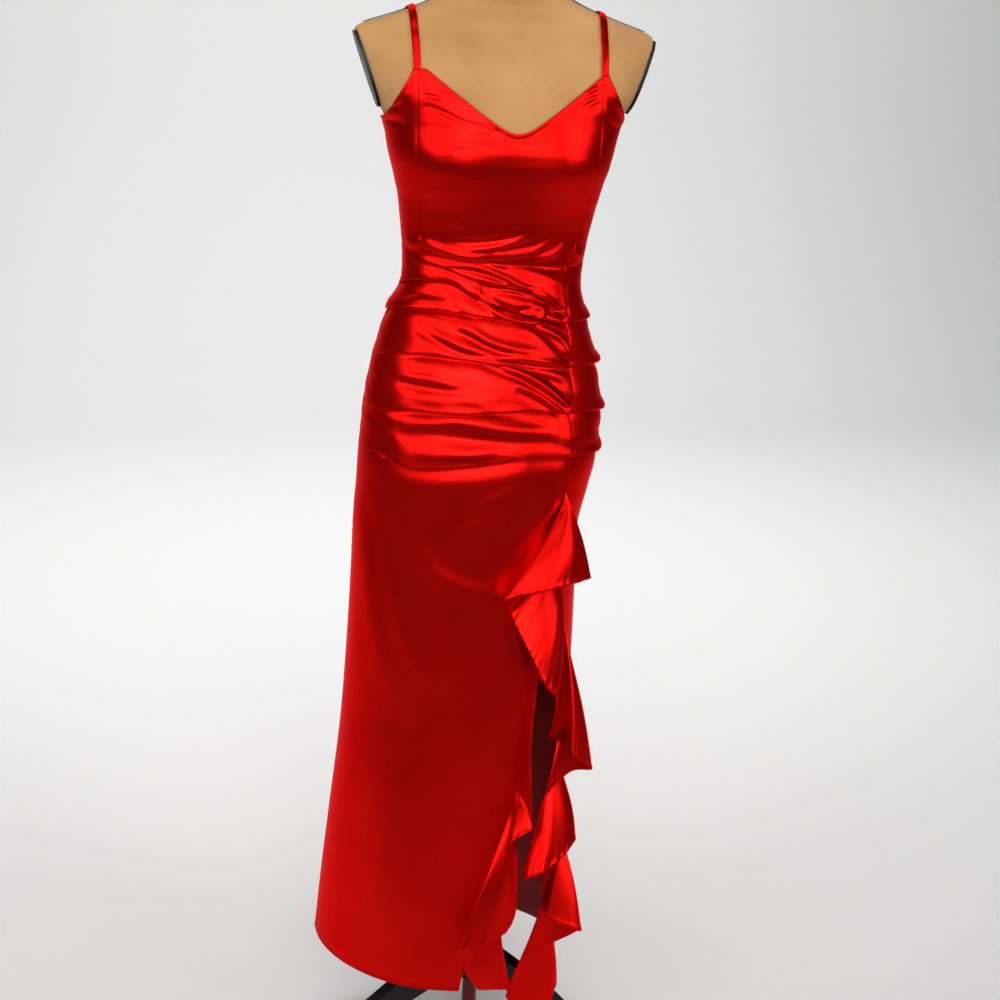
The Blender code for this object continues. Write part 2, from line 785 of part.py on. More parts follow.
def shoulder_cord(side, name):
    """A flat black edging along the ridge of the shoulder, from the neck to the arm plate."""
    steps = 8
    half_turn = math.radians(SHOULDER_CORD_TURN)
    rise = 2 * GAP + SHOULDER_CORD_THICK / 2
    grid = []
    for k in range(steps + 1):
        x = side * mix(*SHOULDER_CORD_X, k / steps)
        row = [form_surface(x, math.pi / 2 + turn) for turn in (-half_turn, 0, half_turn)]
        slope = form_surface(x + 2 * MM, math.pi / 2) - form_surface(x - 2 * MM, math.pi / 2)
        normal = Vector((-slope.z, 0, slope.x)).normalized()
        grid.append([(p + normal * rise, normal) for p in row])
    wall(name, grid, gloss_black, thickness=SHOULDER_CORD_THICK)


def neck_cap():
    top = FORM[-1].z + GAP
    radius = NECK_CAP_RADIUS
    turned(
        "neck_cap",
        [
            (0, top),
            (radius, top),
            (radius, top + NECK_CAP_THICK - NECK_CAP_BEVEL),
            (radius - NECK_CAP_BEVEL, top + NECK_CAP_THICK),
            (0, top + NECK_CAP_THICK),
        ],
        gloss_black,
        sides=28,
    )


# --- stand --------------------------------------------------------------------------------------


def stand():
    seat_top = FORM_BOTTOM_Z - GAP
    seat_bottom = seat_top - SEAT_THICK
    turned(
        "seat_plate",
        [(0, seat_bottom), (SEAT_RADIUS, seat_bottom), (SEAT_RADIUS, seat_top), (0, seat_top)],
        gloss_black,
    )
    pole_top = seat_bottom - GAP
    turned(
        "pole",
        [(0, POLE_BOTTOM_Z), (POLE_RADIUS, POLE_BOTTOM_Z), (POLE_RADIUS, pole_top), (0, pole_top)],
        pole_red,
    )
    bore = POLE_RADIUS + GAP
    low, high = HUB_Z
    turned(
        "hub",
        [(bore, low), (HUB_RADIUS, low), (HUB_RADIUS, high), (bore, high)],
        gloss_black,
    )
    for number, degrees in enumerate(LEG_TURNS, 1):
        leg(f"leg_{number}", math.radians(degrees))


def leg(name, turn):
    """A flat curved leg, cut from a board: it leaves the hub and comes down to a flat foot."""
    start = HUB_RADIUS + GAP
    foot = LEG_REACH - LEG_FOOT
    under = Curve([start, *LEG_BENDS, foot], LEG_UNDER_Z)
    over = Curve([start, *LEG_BENDS, foot, LEG_REACH], LEG_OVER_Z)
    steps = 8
    bottom = [(mix(start, foot, i / steps), under) for i in range(steps + 1)]
    outline = [(r, curve(r)) for r, curve in bottom] + [(LEG_REACH, 0.0)]
    top = [(mix(LEG_REACH, start, i / steps), over) for i in range(steps + 1)]
    outline += [(r, curve(r)) for r, curve in top]
    along = Vector((math.sin(turn), -math.cos(turn), 0))
    across = Vector((math.cos(turn), math.sin(turn), 0)) * (LEG_THICK / 2)
    build = bmesh.new()
    sides = [
        [build.verts.new(along * r + Vector((0, 0, z)) + across * way) for r, z in outline]
        for way in (-1, 1)
    ]
    count = len(outline)
    for face in sides:
        build.faces.new(face)
    for i in range(count):
        n = (i + 1) % count
        build.faces.new((sides[0][i], sides[0][n], sides[1][n], sides[1][i]))
    finish(name, mesh_from(build, name), gloss_black)


for old in list(bpy.data.objects):
    bpy.data.objects.remove(old, do_unlink=True)

satin = material("satin_red", (0.72, 0.01, 0.012), 0.35)
linen = material("linen", (0.62, 0.43, 0.22), 0.9)
gloss_black = material("black_paint", (0.01, 0.01, 0.01), 0.3)
pole_red = material("dark_red_paint", (0.11, 0.004, 0.005), 0.35)

stand_axis = bpy.data.objects.new("stand_axis", None)
bpy.context.scene.collection.objects.link(stand_axis)
stand_axis.matrix_world = Matrix.Translation(AXIS)

form_body()
arm_plate(-1, "arm_plate_left")
arm_plate(1, "arm_plate_right")
shoulder_cord(-1, "shoulder_cord_left")
shoulder_cord(1, "shoulder_cord_right")
neck_cap()
stand()
bodice()
strap(-1, "strap_left")
strap(1, "strap_right")
skirt()
wall("ruffle_side", Ruffle(SIDE_RUFFLE, slit_side).grid(), satin, thickness=RUFFLE_WALL)
wall("ruffle_front", Ruffle(FRONT_RUFFLE, slit_front).grid(), satin, thickness=RUFFLE_WALL)
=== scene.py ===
# %% [markdown]
# # A satin slip dress on a dress form
# The dress is cut in one bright red stretch satin: a bodice with princess seams and a V neck, thin straps,
# a skirt that is tucked into a seam at one hip, and a slit below it edged with two long ruffles.
# It is shown on a limbless form on a pole with three legs.
#
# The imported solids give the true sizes. Each piece of cloth is made again here on the same surface with
# a finer net of points, so that it can hold soft creases, rolled edges and puckers that a rigid wall cannot.

# %% Load the frame
import math
from collections import namedtuple

import bpy
import numpy as np
from mathutils import Matrix, Vector


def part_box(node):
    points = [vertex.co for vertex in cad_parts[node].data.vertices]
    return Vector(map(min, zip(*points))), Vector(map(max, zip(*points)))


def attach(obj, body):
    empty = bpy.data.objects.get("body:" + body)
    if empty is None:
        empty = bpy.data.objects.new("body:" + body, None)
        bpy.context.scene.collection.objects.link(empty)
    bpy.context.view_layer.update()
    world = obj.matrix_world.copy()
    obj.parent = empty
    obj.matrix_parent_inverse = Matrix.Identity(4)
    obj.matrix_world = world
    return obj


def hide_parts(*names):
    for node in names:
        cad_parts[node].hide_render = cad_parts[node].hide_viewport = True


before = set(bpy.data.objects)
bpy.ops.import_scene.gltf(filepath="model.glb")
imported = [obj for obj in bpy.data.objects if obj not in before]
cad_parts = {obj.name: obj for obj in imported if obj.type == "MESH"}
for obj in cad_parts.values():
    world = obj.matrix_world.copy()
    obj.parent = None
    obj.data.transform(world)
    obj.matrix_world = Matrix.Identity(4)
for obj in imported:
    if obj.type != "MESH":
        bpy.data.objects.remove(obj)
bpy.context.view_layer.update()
MM = 0.001
print("solids in the frame:", len(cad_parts))

# %% [markdown]
# Everything is measured from the pole, because the form and the dress are centred on it.

# %% The pole's axis
pole_low, pole_high = (np.array(corner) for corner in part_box("pole"))
AXIS = (pole_low + pole_high) / 2 * (1, 1, 0)
print("pole axis:", AXIS.round(4))

# %% [markdown]
# ## Camera, floor and light
# The camera stands a little to the wearer's right, above the waist, and looks down at the skirt. It is
# tilted a touch, as a hand-held camera is. Three large soft lights wrap round the front: satin shows its
# folds only where it mirrors a light, so cloth that faces up is bright and cloth that faces down is deep red.
# Small lamps would leave hard sparks on it instead of long soft bands.

# %% Camera
CAMERA_DISTANCE = 2.25
CAMERA_HEIGHT = 1.55
CAMERA_TURN = math.radians(-9)
CAMERA_PITCH = math.radians(17)
CAMERA_ROLL = math.radians(2.3)
CAMERA_YAW = math.radians(0.45)
LENS = 59.5

across = math.sin(CAMERA_TURN) * CAMERA_DISTANCE
before = math.cos(CAMERA_TURN) * CAMERA_DISTANCE
eye = Vector((across, -before, CAMERA_HEIGHT)) + Vector(AXIS)
camera_data = bpy.data.cameras.new("camera")
camera_data.lens = LENS
camera = bpy.data.objects.new("camera", camera_data)
bpy.context.scene.collection.objects.link(camera)
looking = Matrix.Rotation(CAMERA_TURN - CAMERA_YAW, 4, "Z")
looking = looking @ Matrix.Rotation(math.pi / 2 - CAMERA_PITCH, 4, "X")
camera.matrix_world = Matrix.Translation(eye) @ looking @ Matrix.Rotation(CAMERA_ROLL, 4, "Z")
bpy.context.scene.camera = camera
print("camera at:", [round(c, 3) for c in eye])

# %% Floor
SWEEP_REACH = 12.0
SWEEP_HIGH = 7.0
SWEEP_Y = 3.6  # where the floor begins to curve up
BEND = 1.2
BEND_STEPS = 10
SWEEP_GREY = 0.82
SWEEP_ROUGHNESS = 0.9


def sweep_material():
    made = bpy.data.materials.new("sweep_pale")
    made.use_nodes = True
    shader = made.node_tree.nodes["Principled BSDF"]
    shader.inputs["Base Color"].default_value = (SWEEP_GREY, SWEEP_GREY, SWEEP_GREY, 1)
    shader.inputs["Roughness"].default_value = SWEEP_ROUGHNESS
    return made


def studio_sweep():
    """A pale floor that curves up into a backdrop, in one piece, well behind the stand."""
    bend = [math.pi / 2 * step / BEND_STEPS for step in range(BEND_STEPS + 1)]
    profile = [(-SWEEP_REACH, 0.0)]
    profile += [(SWEEP_Y + BEND * math.sin(turn), BEND * (1 - math.cos(turn))) for turn in bend]
    profile.append((SWEEP_Y + BEND, SWEEP_HIGH))
    corners = [(side * SWEEP_REACH, y, z) for y, z in profile for side in (-1, 1)]
    faces = [(2 * i, 2 * i + 1, 2 * i + 3, 2 * i + 2) for i in range(len(profile) - 1)]
    mesh = bpy.data.meshes.new("studio_sweep")
    mesh.from_pydata(corners, [], faces)
    mesh.shade_smooth()
    made = bpy.data.objects.new("studio_sweep", mesh)
    bpy.context.scene.collection.objects.link(made)
    mesh.materials.append(sweep_material())


studio_sweep()


# %% Lights
HIPS_Z = 1.1
WORLD_STRENGTH = 0.10
NO_SPREAD_LIMIT = 180


def area_light(name, place, target, size, watts, spread=NO_SPREAD_LIMIT):
    data = bpy.data.lights.new(name, "AREA")
    data.shape = "RECTANGLE"
    data.size, data.size_y = size
    data.energy = watts
    data.spread = math.radians(spread)
    made = bpy.data.objects.new(name, data)
    bpy.context.scene.collection.objects.link(made)
    made.location = place
    made.rotation_euler = (Vector(target) - Vector(place)).to_track_quat("-Z", "Y").to_euler()


hips = (AXIS[0], AXIS[1], HIPS_Z)
area_light("key", (-0.3, -3.3, 2.5), hips, (4.4, 1.8), 18, spread=58)
area_light("key_left", (-2.8, -2.0, 2.4), hips, (2.6, 2.0), 6, spread=60)
area_light("key_right", (2.6, -2.2, 2.4), hips, (2.4, 2.0), 6, spread=60)
area_light("top", (-0.2, -1.3, 3.4), hips, (1.8, 1.2), 8)
area_light("back", (0.6, 3.0, 2.4), hips, (3.0, 1.6), 8)
area_light("backdrop_wash", (0, 1.6, 3.6), (0, SWEEP_Y + 0.8, 1.0), (5.0, 1.5), 110)
area_light("floor_wash", (0, 2.0, 4.2), (0, 1.8, 0), (4.0, 2.0), 16, spread=120)
bpy.context.scene.view_settings.view_transform = "Standard"
world = bpy.data.worlds.new("world")
world.use_nodes = True
world.node_tree.nodes["Background"].inputs["Color"].default_value = (1, 1, 1, 1)
world.node_tree.nodes["Background"].inputs["Strength"].default_value = WORLD_STRENGTH
bpy.context.scene.world = world
print("lights:", len(bpy.data.lights))

# %% [markdown]
# ## Finishes
# Satin is woven with long floats on its face, so it mirrors light softly and keeps the dye's colour in the
# reflection, almost as a metal does. The shader is therefore part metallic, with a medium roughness. A very
# fine noise, stretched along the threads, stands for the weave and breaks the reflection up a little.


# %% Shader helpers
def add_node(tree, kind, **values):
    made = tree.nodes.new(kind)
    for key, value in values.items():
        if key in made.inputs:
            made.inputs[key].default_value = value
        else:
            setattr(made, key, value)
    return made


def new_material(name):
    """A material with its tree, its shader and the object's own coordinates."""
    made = bpy.data.materials.new(name)
    made.use_nodes = True
    tree = made.node_tree
    coordinates = add_node(tree, "ShaderNodeTexCoord")
    return made, tree, tree.nodes["Principled BSDF"], coordinates.outputs["Object"]


def noise(tree, place, scale, detail):
    made = add_node(tree, "ShaderNodeTexNoise", Scale=scale, Detail=detail)
    tree.links.new(place, made.inputs["Vector"])
    return made.outputs["Fac"]


def ramp(tree, factor, stops):
    """A colour ramp through these (place, colour) stops."""
    made = add_node(tree, "ShaderNodeValToRGB")
    first, last = made.color_ramp.elements
    first.position, last.position = stops[0][0], stops[-1][0]
    for place, colour in stops[1:-1]:
        made.color_ramp.elements.new(place)
    for element, (_, colour) in zip(made.color_ramp.elements, stops):
        element.color = (*colour, 1)
    tree.links.new(factor, made.inputs["Fac"])
    return made.outputs["Color"]


def vary_roughness(tree, shader, factor, low, high):
    spread = add_node(tree, "ShaderNodeMapRange")
    spread.inputs["To Min"].default_value = low
    spread.inputs["To Max"].default_value = high
    tree.links.new(factor, spread.inputs["Value"])
    tree.links.new(spread.outputs["Result"], shader.inputs["Roughness"])


def emboss(tree, shader, height, strength, distance):
    bump = add_node(tree, "ShaderNodeBump", Strength=strength, Distance=distance)
    tree.links.new(height, bump.inputs["Height"])
    tree.links.new(bump.outputs["Normal"], shader.inputs["Normal"])


# %% Satin
DYE = (0.82, 0.006, 0.004)
DYE_DEEP = (0.70, 0.004, 0.003)
CLOUD_SCALE = 9.0
WEAVE_SCALE = 1500.0
WEAVE_DEPTH = 0.2 * MM
ALONG_THE_THREADS = (1, 1, 0.18)


def satin_material():
    made, tree, shader, place = new_material("red_satin")
    shader.inputs["Metallic"].default_value = 0.9
    shader.inputs["Specular IOR Level"].default_value = 0.35
    shader.inputs["Specular Tint"].default_value = (1.0, 0.12, 0.10, 1)
    cloud = noise(tree, place, CLOUD_SCALE, 3.0)
    colour = ramp(tree, cloud, [(0.3, DYE_DEEP), (0.7, DYE)])
    tree.links.new(colour, shader.inputs["Base Color"])
    vary_roughness(tree, shader, cloud, 0.26, 0.33)
    threads = add_node(tree, "ShaderNodeMapping", Scale=ALONG_THE_THREADS)
    tree.links.new(place, threads.inputs["Vector"])
    weave = noise(tree, threads.outputs["Vector"], WEAVE_SCALE, 1.0)
    emboss(tree, shader, weave, 0.12, WEAVE_DEPTH)
    return made


satin = satin_material()

# %% [markdown]
# On the reverse the floats are short, so that side is dull and darker. It is a finish of its own for the
# inner skin of the cloth, with the same slow clouds in its dye.


# %% The satin's reverse
REVERSE = (0.46, 0.006, 0.008)
REVERSE_DEEP = (0.36, 0.004, 0.006)


def reverse_material():
    """The dull side, which shows only inside the skirt."""
    made, tree, shader, place = new_material("satin_reverse")
    shader.inputs["Roughness"].default_value = 0.7
    colour = ramp(tree, noise(tree, place, CLOUD_SCALE, 3.0), [(0.3, REVERSE_DEEP), (0.7, REVERSE)])
    tree.links.new(colour, shader.inputs["Base Color"])
    emboss(tree, shader, noise(tree, place, WEAVE_SCALE, 1.0), 0.2, WEAVE_DEPTH)
    return made


reverse = reverse_material()


# %% [markdown]
# The form is covered with plain linen: two sets of threads that cross, thicker here and thinner there.
# Two wave textures on the object's own coordinates give the threads, and a slow noise gives the patches.
# Threads with a shape of their own would take millions of faces.


# %% Linen
LINEN_SCALE = 260.0
LINEN_DEPTH = 0.4 * MM
LINEN_STOPS = [
    (0.10, (0.44, 0.22, 0.08)),
    (0.45, (0.62, 0.33, 0.13)),
    (0.90, (0.74, 0.43, 0.19)),
]


def combine(tree, operation, first, second):
    made = add_node(tree, "ShaderNodeMath", operation=operation)
    tree.links.new(first, made.inputs[0])
    tree.links.new(second, made.inputs[1])
    return made.outputs[0]


def linen_material():
    made, tree, shader, place = new_material("natural_linen")
    shader.inputs["Roughness"].default_value = 0.88
    shader.inputs["Specular IOR Level"].default_value = 0.25
    heights = []
    for direction in ("X", "Z"):
        wave = add_node(tree, "ShaderNodeTexWave", Scale=LINEN_SCALE, Distortion=2.4, Detail=2.0)
        wave.inputs["Detail Scale"].default_value = 0.6
        wave.bands_direction = direction
        tree.links.new(place, wave.inputs["Vector"])
        heights.append(wave.outputs["Fac"])
    cross = combine(tree, "MAXIMUM", *heights)
    patchy = combine(tree, "MULTIPLY", cross, noise(tree, place, 14.0, 4.0))
    tree.links.new(ramp(tree, patchy, LINEN_STOPS), shader.inputs["Base Color"])
    emboss(tree, shader, cross, 0.35, LINEN_DEPTH)
    return made


linen = linen_material()

# %% [markdown]
# The plates, the cords, the cap, the hub and the legs are gloss black, and the pole is a dark red. Paint is
# never quite even, so a slow noise changes its roughness a little and lifts it like fine orange peel.


# %% Paint
PEEL_SCALE = 60.0
PEEL_DEPTH = 0.5 * MM
ROUGHNESS_RANGE = 0.15


def paint_material(name, colour, roughness):
    made, tree, shader, place = new_material(name)
    shader.inputs["Base Color"].default_value = (*colour, 1)
    shader.inputs["Specular IOR Level"].default_value = 0.3
    shader.inputs["Coat Weight"].default_value = 0.08
    shader.inputs["Coat Roughness"].default_value = 0.15
    grain = noise(tree, place, PEEL_SCALE, 3.0)
    vary_roughness(tree, shader, grain, roughness, roughness + ROUGHNESS_RANGE)
    emboss(tree, shader, grain, 0.08, PEEL_DEPTH)
    return made


black_paint = paint_material("gloss_black", (0.006, 0.005, 0.006), 0.42)
red_paint = paint_material("dark_red_lacquer", (0.12, 0.003, 0.004), 0.25)
print("finishes:", ", ".join(m.name for m in (satin, reverse, linen, black_paint, red_paint)))

# %% [markdown]
# ## The dress's surface
# The cloth lies on one smooth surface of rounded ovals, one for each height, wide at the hips and hem and
# narrow at the waist. Half-widths and depths run smoothly from one section to the next. Separate patches
# could be sculpted, but their edges would have to be fitted to each other: here all the panels are cut from
# this one surface, so they meet at the seams by themselves. The numbers are those of the solids.


# %% Smooth curves
def mix(a, b, share):
    return a + (b - a) * share


class Curve:
    """A smooth curve through a table's points that never overshoots them. It takes whole arrays."""

    def __init__(self, places, values):
        self.places = np.array(places, float)
        self.values = np.array(values, float)
        steps = np.diff(self.values) / np.diff(self.places)
        product, total = steps[:-1] * steps[1:], steps[:-1] + steps[1:]
        inner = np.where(product > 0, 2 * product / np.where(total == 0, 1, total), 0.0)
        self.slopes = np.concatenate([steps[:1], inner, steps[-1:]])

    def __call__(self, place):
        place = np.clip(place, self.places[0], self.places[-1])
        i = np.clip(np.searchsorted(self.places, place, side="right") - 1, 0, len(self.places) - 2)
        width = self.places[i + 1] - self.places[i]
        t = (place - self.places[i]) / width
        return (
            (1 + 2 * t) * (1 - t) ** 2 * self.values[i]
            + t * (1 - t) ** 2 * width * self.slopes[i]
            + t * t * (3 - 2 * t) * self.values[i + 1]
            + t * t * (t - 1) * width * self.slopes[i + 1]
        )


def curve_of(table, across, up):
    return Curve([getattr(row, across) for row in table], [getattr(row, up) for row in table])


def unit(vectors):
    return vectors / np.maximum(np.linalg.norm(vectors, axis=-1, keepdims=True), 1e-12)


# %% Sections of the dress and the form
Section = namedtuple("Section", "z left right front back square")
DRESS = [
    Section(0.150, 0.241, 0.132, 0.166, 0.167, 2.0),
    Section(0.210, 0.236, 0.132, 0.161, 0.163, 2.0),
    Section(0.290, 0.229, 0.132, 0.155, 0.158, 2.0),
    Section(0.380, 0.220, 0.132, 0.147, 0.152, 2.0),
    Section(0.540, 0.204, 0.131, 0.136, 0.142, 2.0),
    Section(0.700, 0.195, 0.130, 0.127, 0.132, 2.1),
    Section(0.830, 0.190, 0.129, 0.120, 0.126, 2.1),
    Section(0.890, 0.187, 0.140, 0.117, 0.124, 2.2),
    Section(0.945, 0.184, 0.151, 0.114, 0.121, 2.3),
    Section(1.000, 0.179, 0.153, 0.110, 0.117, 2.3),
    Section(1.070, 0.168, 0.143, 0.102, 0.107, 2.3),
    Section(1.140, 0.146, 0.124, 0.093, 0.095, 2.3),
    Section(1.185, 0.128, 0.116, 0.087, 0.087, 2.3),
    Section(1.230, 0.130, 0.121, 0.088, 0.084, 2.3),
    Section(1.290, 0.137, 0.133, 0.098, 0.089, 2.3),
    Section(1.345, 0.150, 0.149, 0.109, 0.096, 2.3),
    Section(1.392, 0.161, 0.161, 0.105, 0.097, 2.3),
    Section(1.430, 0.187, 0.187, 0.093, 0.096, 2.3),
    Section(1.470, 0.206, 0.206, 0.076, 0.088, 2.3),
]
FORM = [
    Section(0.900, 0.128, 0.128, 0.086, 0.096, 2.3),
    Section(0.925, 0.138, 0.138, 0.095, 0.107, 2.3),
    Section(0.960, 0.142, 0.142, 0.099, 0.112, 2.3),
    Section(1.000, 0.143, 0.143, 0.098, 0.110, 2.3),
    Section(1.070, 0.133, 0.133, 0.092, 0.098, 2.3),
    Section(1.140, 0.116, 0.116, 0.084, 0.086, 2.3),
    Section(1.185, 0.1095, 0.1095, 0.080, 0.080, 2.3),
    Section(1.230, 0.116, 0.116, 0.083, 0.079, 2.3),
    Section(1.290, 0.128, 0.128, 0.093, 0.084, 2.3),
    Section(1.345, 0.144, 0.144, 0.104, 0.091, 2.3),
    Section(1.392, 0.1565, 0.1565, 0.100, 0.092, 2.3),
    Section(1.430, 0.182, 0.182, 0.088, 0.091, 2.3),
    Section(1.465, 0.200, 0.200, 0.073, 0.084, 2.3),
    Section(1.490, 0.208, 0.208, 0.058, 0.070, 2.3),
    Section(1.505, 0.194, 0.194, 0.046, 0.056, 2.3),
    Section(1.520, 0.152, 0.152, 0.041, 0.050, 2.2),
    Section(1.535, 0.110, 0.110, 0.042, 0.050, 2.1),
    Section(1.550, 0.080, 0.080, 0.047, 0.053, 2.0),
    Section(1.565, 0.064, 0.064, 0.051, 0.055, 2.0),
    Section(1.590, 0.057, 0.057, 0.052, 0.055, 2.0),
    Section(1.620, 0.055, 0.055, 0.052, 0.055, 2.0),
]


# %% The surface itself
BUST_X = 0.085
BUST_Z = 1.335
BUST_REACH_Z = 0.045
BUST_FADE = 3  # towards the sides the bust's swell fades with this many times the cosine
STEP_ROUND = 0.02  # how far to each side the surface is felt for its slope
STEP_UP = 2 * MM
GIRTH_Z = 1.2


class Body:
    """A surface of rounded oval sections. An angle of 0 is the front and 90 degrees is +X."""

    def __init__(self, sections, bust_swell, bust_reach_x):
        for column in Section._fields[1:]:
            setattr(self, column, curve_of(sections, "z", column))
        self.bust_swell = bust_swell
        self.bust_reach_x = bust_reach_x

    def bust(self, x, z):
        across = sum(np.exp(-(((x - side * BUST_X) / self.bust_reach_x) ** 2)) for side in (-1, 1))
        return self.bust_swell * across * np.exp(-(((z - BUST_Z) / BUST_REACH_Z) ** 2))

    def point(self, angle, z):
        angle, z = np.broadcast_arrays(angle, z)
        sine, cosine = np.sin(angle), np.cos(angle)
        half = np.where(sine > 0, self.right(z), self.left(z))
        depth = np.where(cosine > 0, self.front(z), self.back(z))
        power = 2 / self.square(z)
        x = np.sign(sine) * np.abs(sine) ** power * half
        y = -np.sign(cosine) * np.abs(cosine) ** power * depth
        y = y - np.where(cosine > 0, self.bust(x, z) * np.minimum(1, BUST_FADE * cosine), 0)
        return np.stack([x, y, z], axis=-1)

    def normal(self, angle, z):
        across = self.point(angle + STEP_ROUND, z) - self.point(angle - STEP_ROUND, z)
        up = self.point(angle, z + STEP_UP) - self.point(angle, z - STEP_UP)
        return unit(np.cross(across, up))

    def angle(self, x, z):
        """The angle on the front at which the surface has this x."""
        half = np.where(x > 0, self.right(z), self.left(z))
        share = np.minimum(np.abs(x) / half, 1.0) ** (self.square(z) / 2)
        return np.sign(x) * np.arcsin(share)


dress = Body(DRESS, bust_swell=11 * MM, bust_reach_x=0.055)
form = Body(FORM, bust_swell=9 * MM, bust_reach_x=0.045)
ring = dress.point(np.linspace(-math.pi, math.pi, 361), GIRTH_Z)
girth = np.linalg.norm(np.diff(ring, axis=0), axis=1).sum()
print("waist girth of the dress:", round(float(girth), 3), "m")

# %% [markdown]
# ## Seams and edges
# A seam that runs down the front is a table of x against height. The waist, neckline, armholes, back and
# hem are heights that depend on the angle round the body. A dress could also be cut out of a whole surface,
# but a cut leaves ragged faces along its edge: rows that follow the edge keep it smooth.

# %% Seams
Seam = namedtuple("Seam", "z x")
WAIST_Z = 1.211
NECK_V_Z = 1.380
NECK_V_X = 0.005
NECK_ROUNDING = 20 * MM
TOP_Z = 1.456
TOP_X = 0.121
STRAP_WIDE = 10 * MM
UNDERARM_Z = 1.392
BACK_LOW_Z = 1.345
SLIT_Z = 0.904
PRINCESS_LEFT = [
    Seam(1.200, -0.108),
    Seam(1.250, -0.110),
    Seam(1.306, -0.117),
    Seam(1.345, -0.121),
    Seam(TOP_Z, -TOP_X),
]
PRINCESS_RIGHT = [
    Seam(1.200, 0.080),
    Seam(1.250, 0.100),
    Seam(1.306, 0.112),
    Seam(1.345, 0.117),
    Seam(TOP_Z, TOP_X),
]
RUCHING = [
    Seam(SLIT_Z, 0.090),
    Seam(0.955, 0.095),
    Seam(1.032, 0.094),
    Seam(1.079, 0.091),
    Seam(1.151, 0.085),
    Seam(1.220, 0.080),
]
SLIT_FRONT = [
    Seam(0.150, -0.044),
    Seam(0.240, -0.026),
    Seam(0.326, 0.000),
    Seam(0.430, 0.024),
    Seam(0.520, 0.042),
    Seam(0.640, 0.058),
    Seam(0.750, 0.072),
    Seam(SLIT_Z, 0.090),
]
SLIT_SIDE = [
    Seam(0.150, 0.106),
    Seam(0.320, 0.101),
    Seam(0.560, 0.099),
    Seam(0.800, 0.092),
    Seam(SLIT_Z, 0.090),
]
QUARTER = math.pi / 2


def seam_angle(table):
    """The seam as a function from a height to the angle where it lies."""
    across = curve_of(table, "z", "x")
    return lambda z: dress.angle(across(z), z)


princess_left = seam_angle(PRINCESS_LEFT)
princess_right = seam_angle(PRINCESS_RIGHT)
ruching = seam_angle(RUCHING)
slit_front = seam_angle(SLIT_FRONT)
slit_side = seam_angle(SLIT_SIDE)


def front_edge(z):
    return np.where(z > SLIT_Z, ruching(z), slit_front(z))


def side_edge(z):
    return np.where(z > SLIT_Z, ruching(z), slit_side(z))


def at_angle(angle):
    return lambda z: np.full(np.shape(z), angle)


print("hip seam, degrees from the front:", round(math.degrees(float(ruching(SLIT_Z))), 1))


# %% Edges
Level = namedtuple("Level", "degrees z")
HEM = [
    Level(-90, 0.183),
    Level(-55, 0.174),
    Level(-20, 0.166),
    Level(20, 0.166),
    Level(90, 0.145),
    Level(150, 0.122),
    Level(215, 0.130),
    Level(270, 0.183),
]
WAIST = [
    Level(-90, 1.228),
    Level(-45, 1.217),
    Level(0, 1.211),
    Level(45, 1.206),
    Level(90, 1.209),
    Level(180, 1.216),
    Level(270, 1.228),
]
SETTLE_ROUNDS = 14
BACK_POWER = 3  # keeps the back's edge low until it is near the sides


def angle_curve(values, degrees):
    return Curve([math.radians(a) for a in degrees], values)


def level_curve(table):
    return angle_curve([level.z for level in table], [level.degrees for level in table])


hem = level_curve(HEM)
waist = level_curve(WAIST)


def settle(edge, angle):
    """The height at this angle of an edge that is given as a height from x."""
    z = np.full(np.shape(angle), TOP_Z)
    for _ in range(SETTLE_ROUNDS):
        z = mix(z, edge(dress.point(angle, z)[..., 0]), 0.5)
    return z


def neckline(angle):
    reach = np.hypot(TOP_X - STRAP_WIDE / 2, NECK_ROUNDING) - NECK_ROUNDING
    slope = (TOP_Z - NECK_V_Z) / reach

    def edge(x):
        low = np.hypot(x - NECK_V_X, NECK_ROUNDING) - NECK_ROUNDING
        return np.minimum(TOP_Z, NECK_V_Z + slope * low)

    return settle(edge, angle)


def armhole(angle):
    start = TOP_X + STRAP_WIDE / 2
    slope = (TOP_Z - UNDERARM_Z) / (float(dress.right(UNDERARM_Z)) - start)
    return settle(lambda x: np.minimum(TOP_Z, TOP_Z - slope * (np.abs(x) - start)), angle)


def back_top(angle):
    return mix(BACK_LOW_Z, UNDERARM_Z, np.abs(np.sin(angle)) ** BACK_POWER)


# %% [markdown]
# ## From a grid of points to cloth
# A piece is a grid of points, which are the middle of the cloth. It becomes a thin closed shell: an outer
# and an inner skin, with a rounded edge between them. A Solidify modifier could do that too, but its wall is
# even. Here the wall is thicker for the width of each hem's turning, which gives the fine bright line that a
# rolled hem has, and each skin can have a finish of its own.


# %% Finished pieces
def finish(name, mesh, material, node=None):
    """The piece as an object of the frame, in the place of this solid."""
    mesh.materials.append(material)
    mesh.shade_smooth()
    made = bpy.data.objects.new(name, mesh)
    bpy.context.scene.collection.objects.link(made)
    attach(made, "root")
    if node:
        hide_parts(node)
    print(name, "-", len(mesh.polygons), "faces")
    return made


# %% Shells
EDGE_BULGE = 0.8  # how far the rounded edge stands out, against half the thickness


def rim_of(rows, columns):
    """The grid's edge as one loop of (row, column)."""
    loop = [(0, j) for j in range(columns - 1)]
    loop += [(i, columns - 1) for i in range(rows - 1)]
    loop += [(rows - 1, j) for j in range(columns - 1, 0, -1)]
    loop += [(i, 0) for i in range(rows - 1, 0, -1)]
    return loop


def grid_normals(points):
    along = np.gradient(points, axis=0)
    across = np.gradient(points, axis=1)
    return unit(np.cross(across, along))


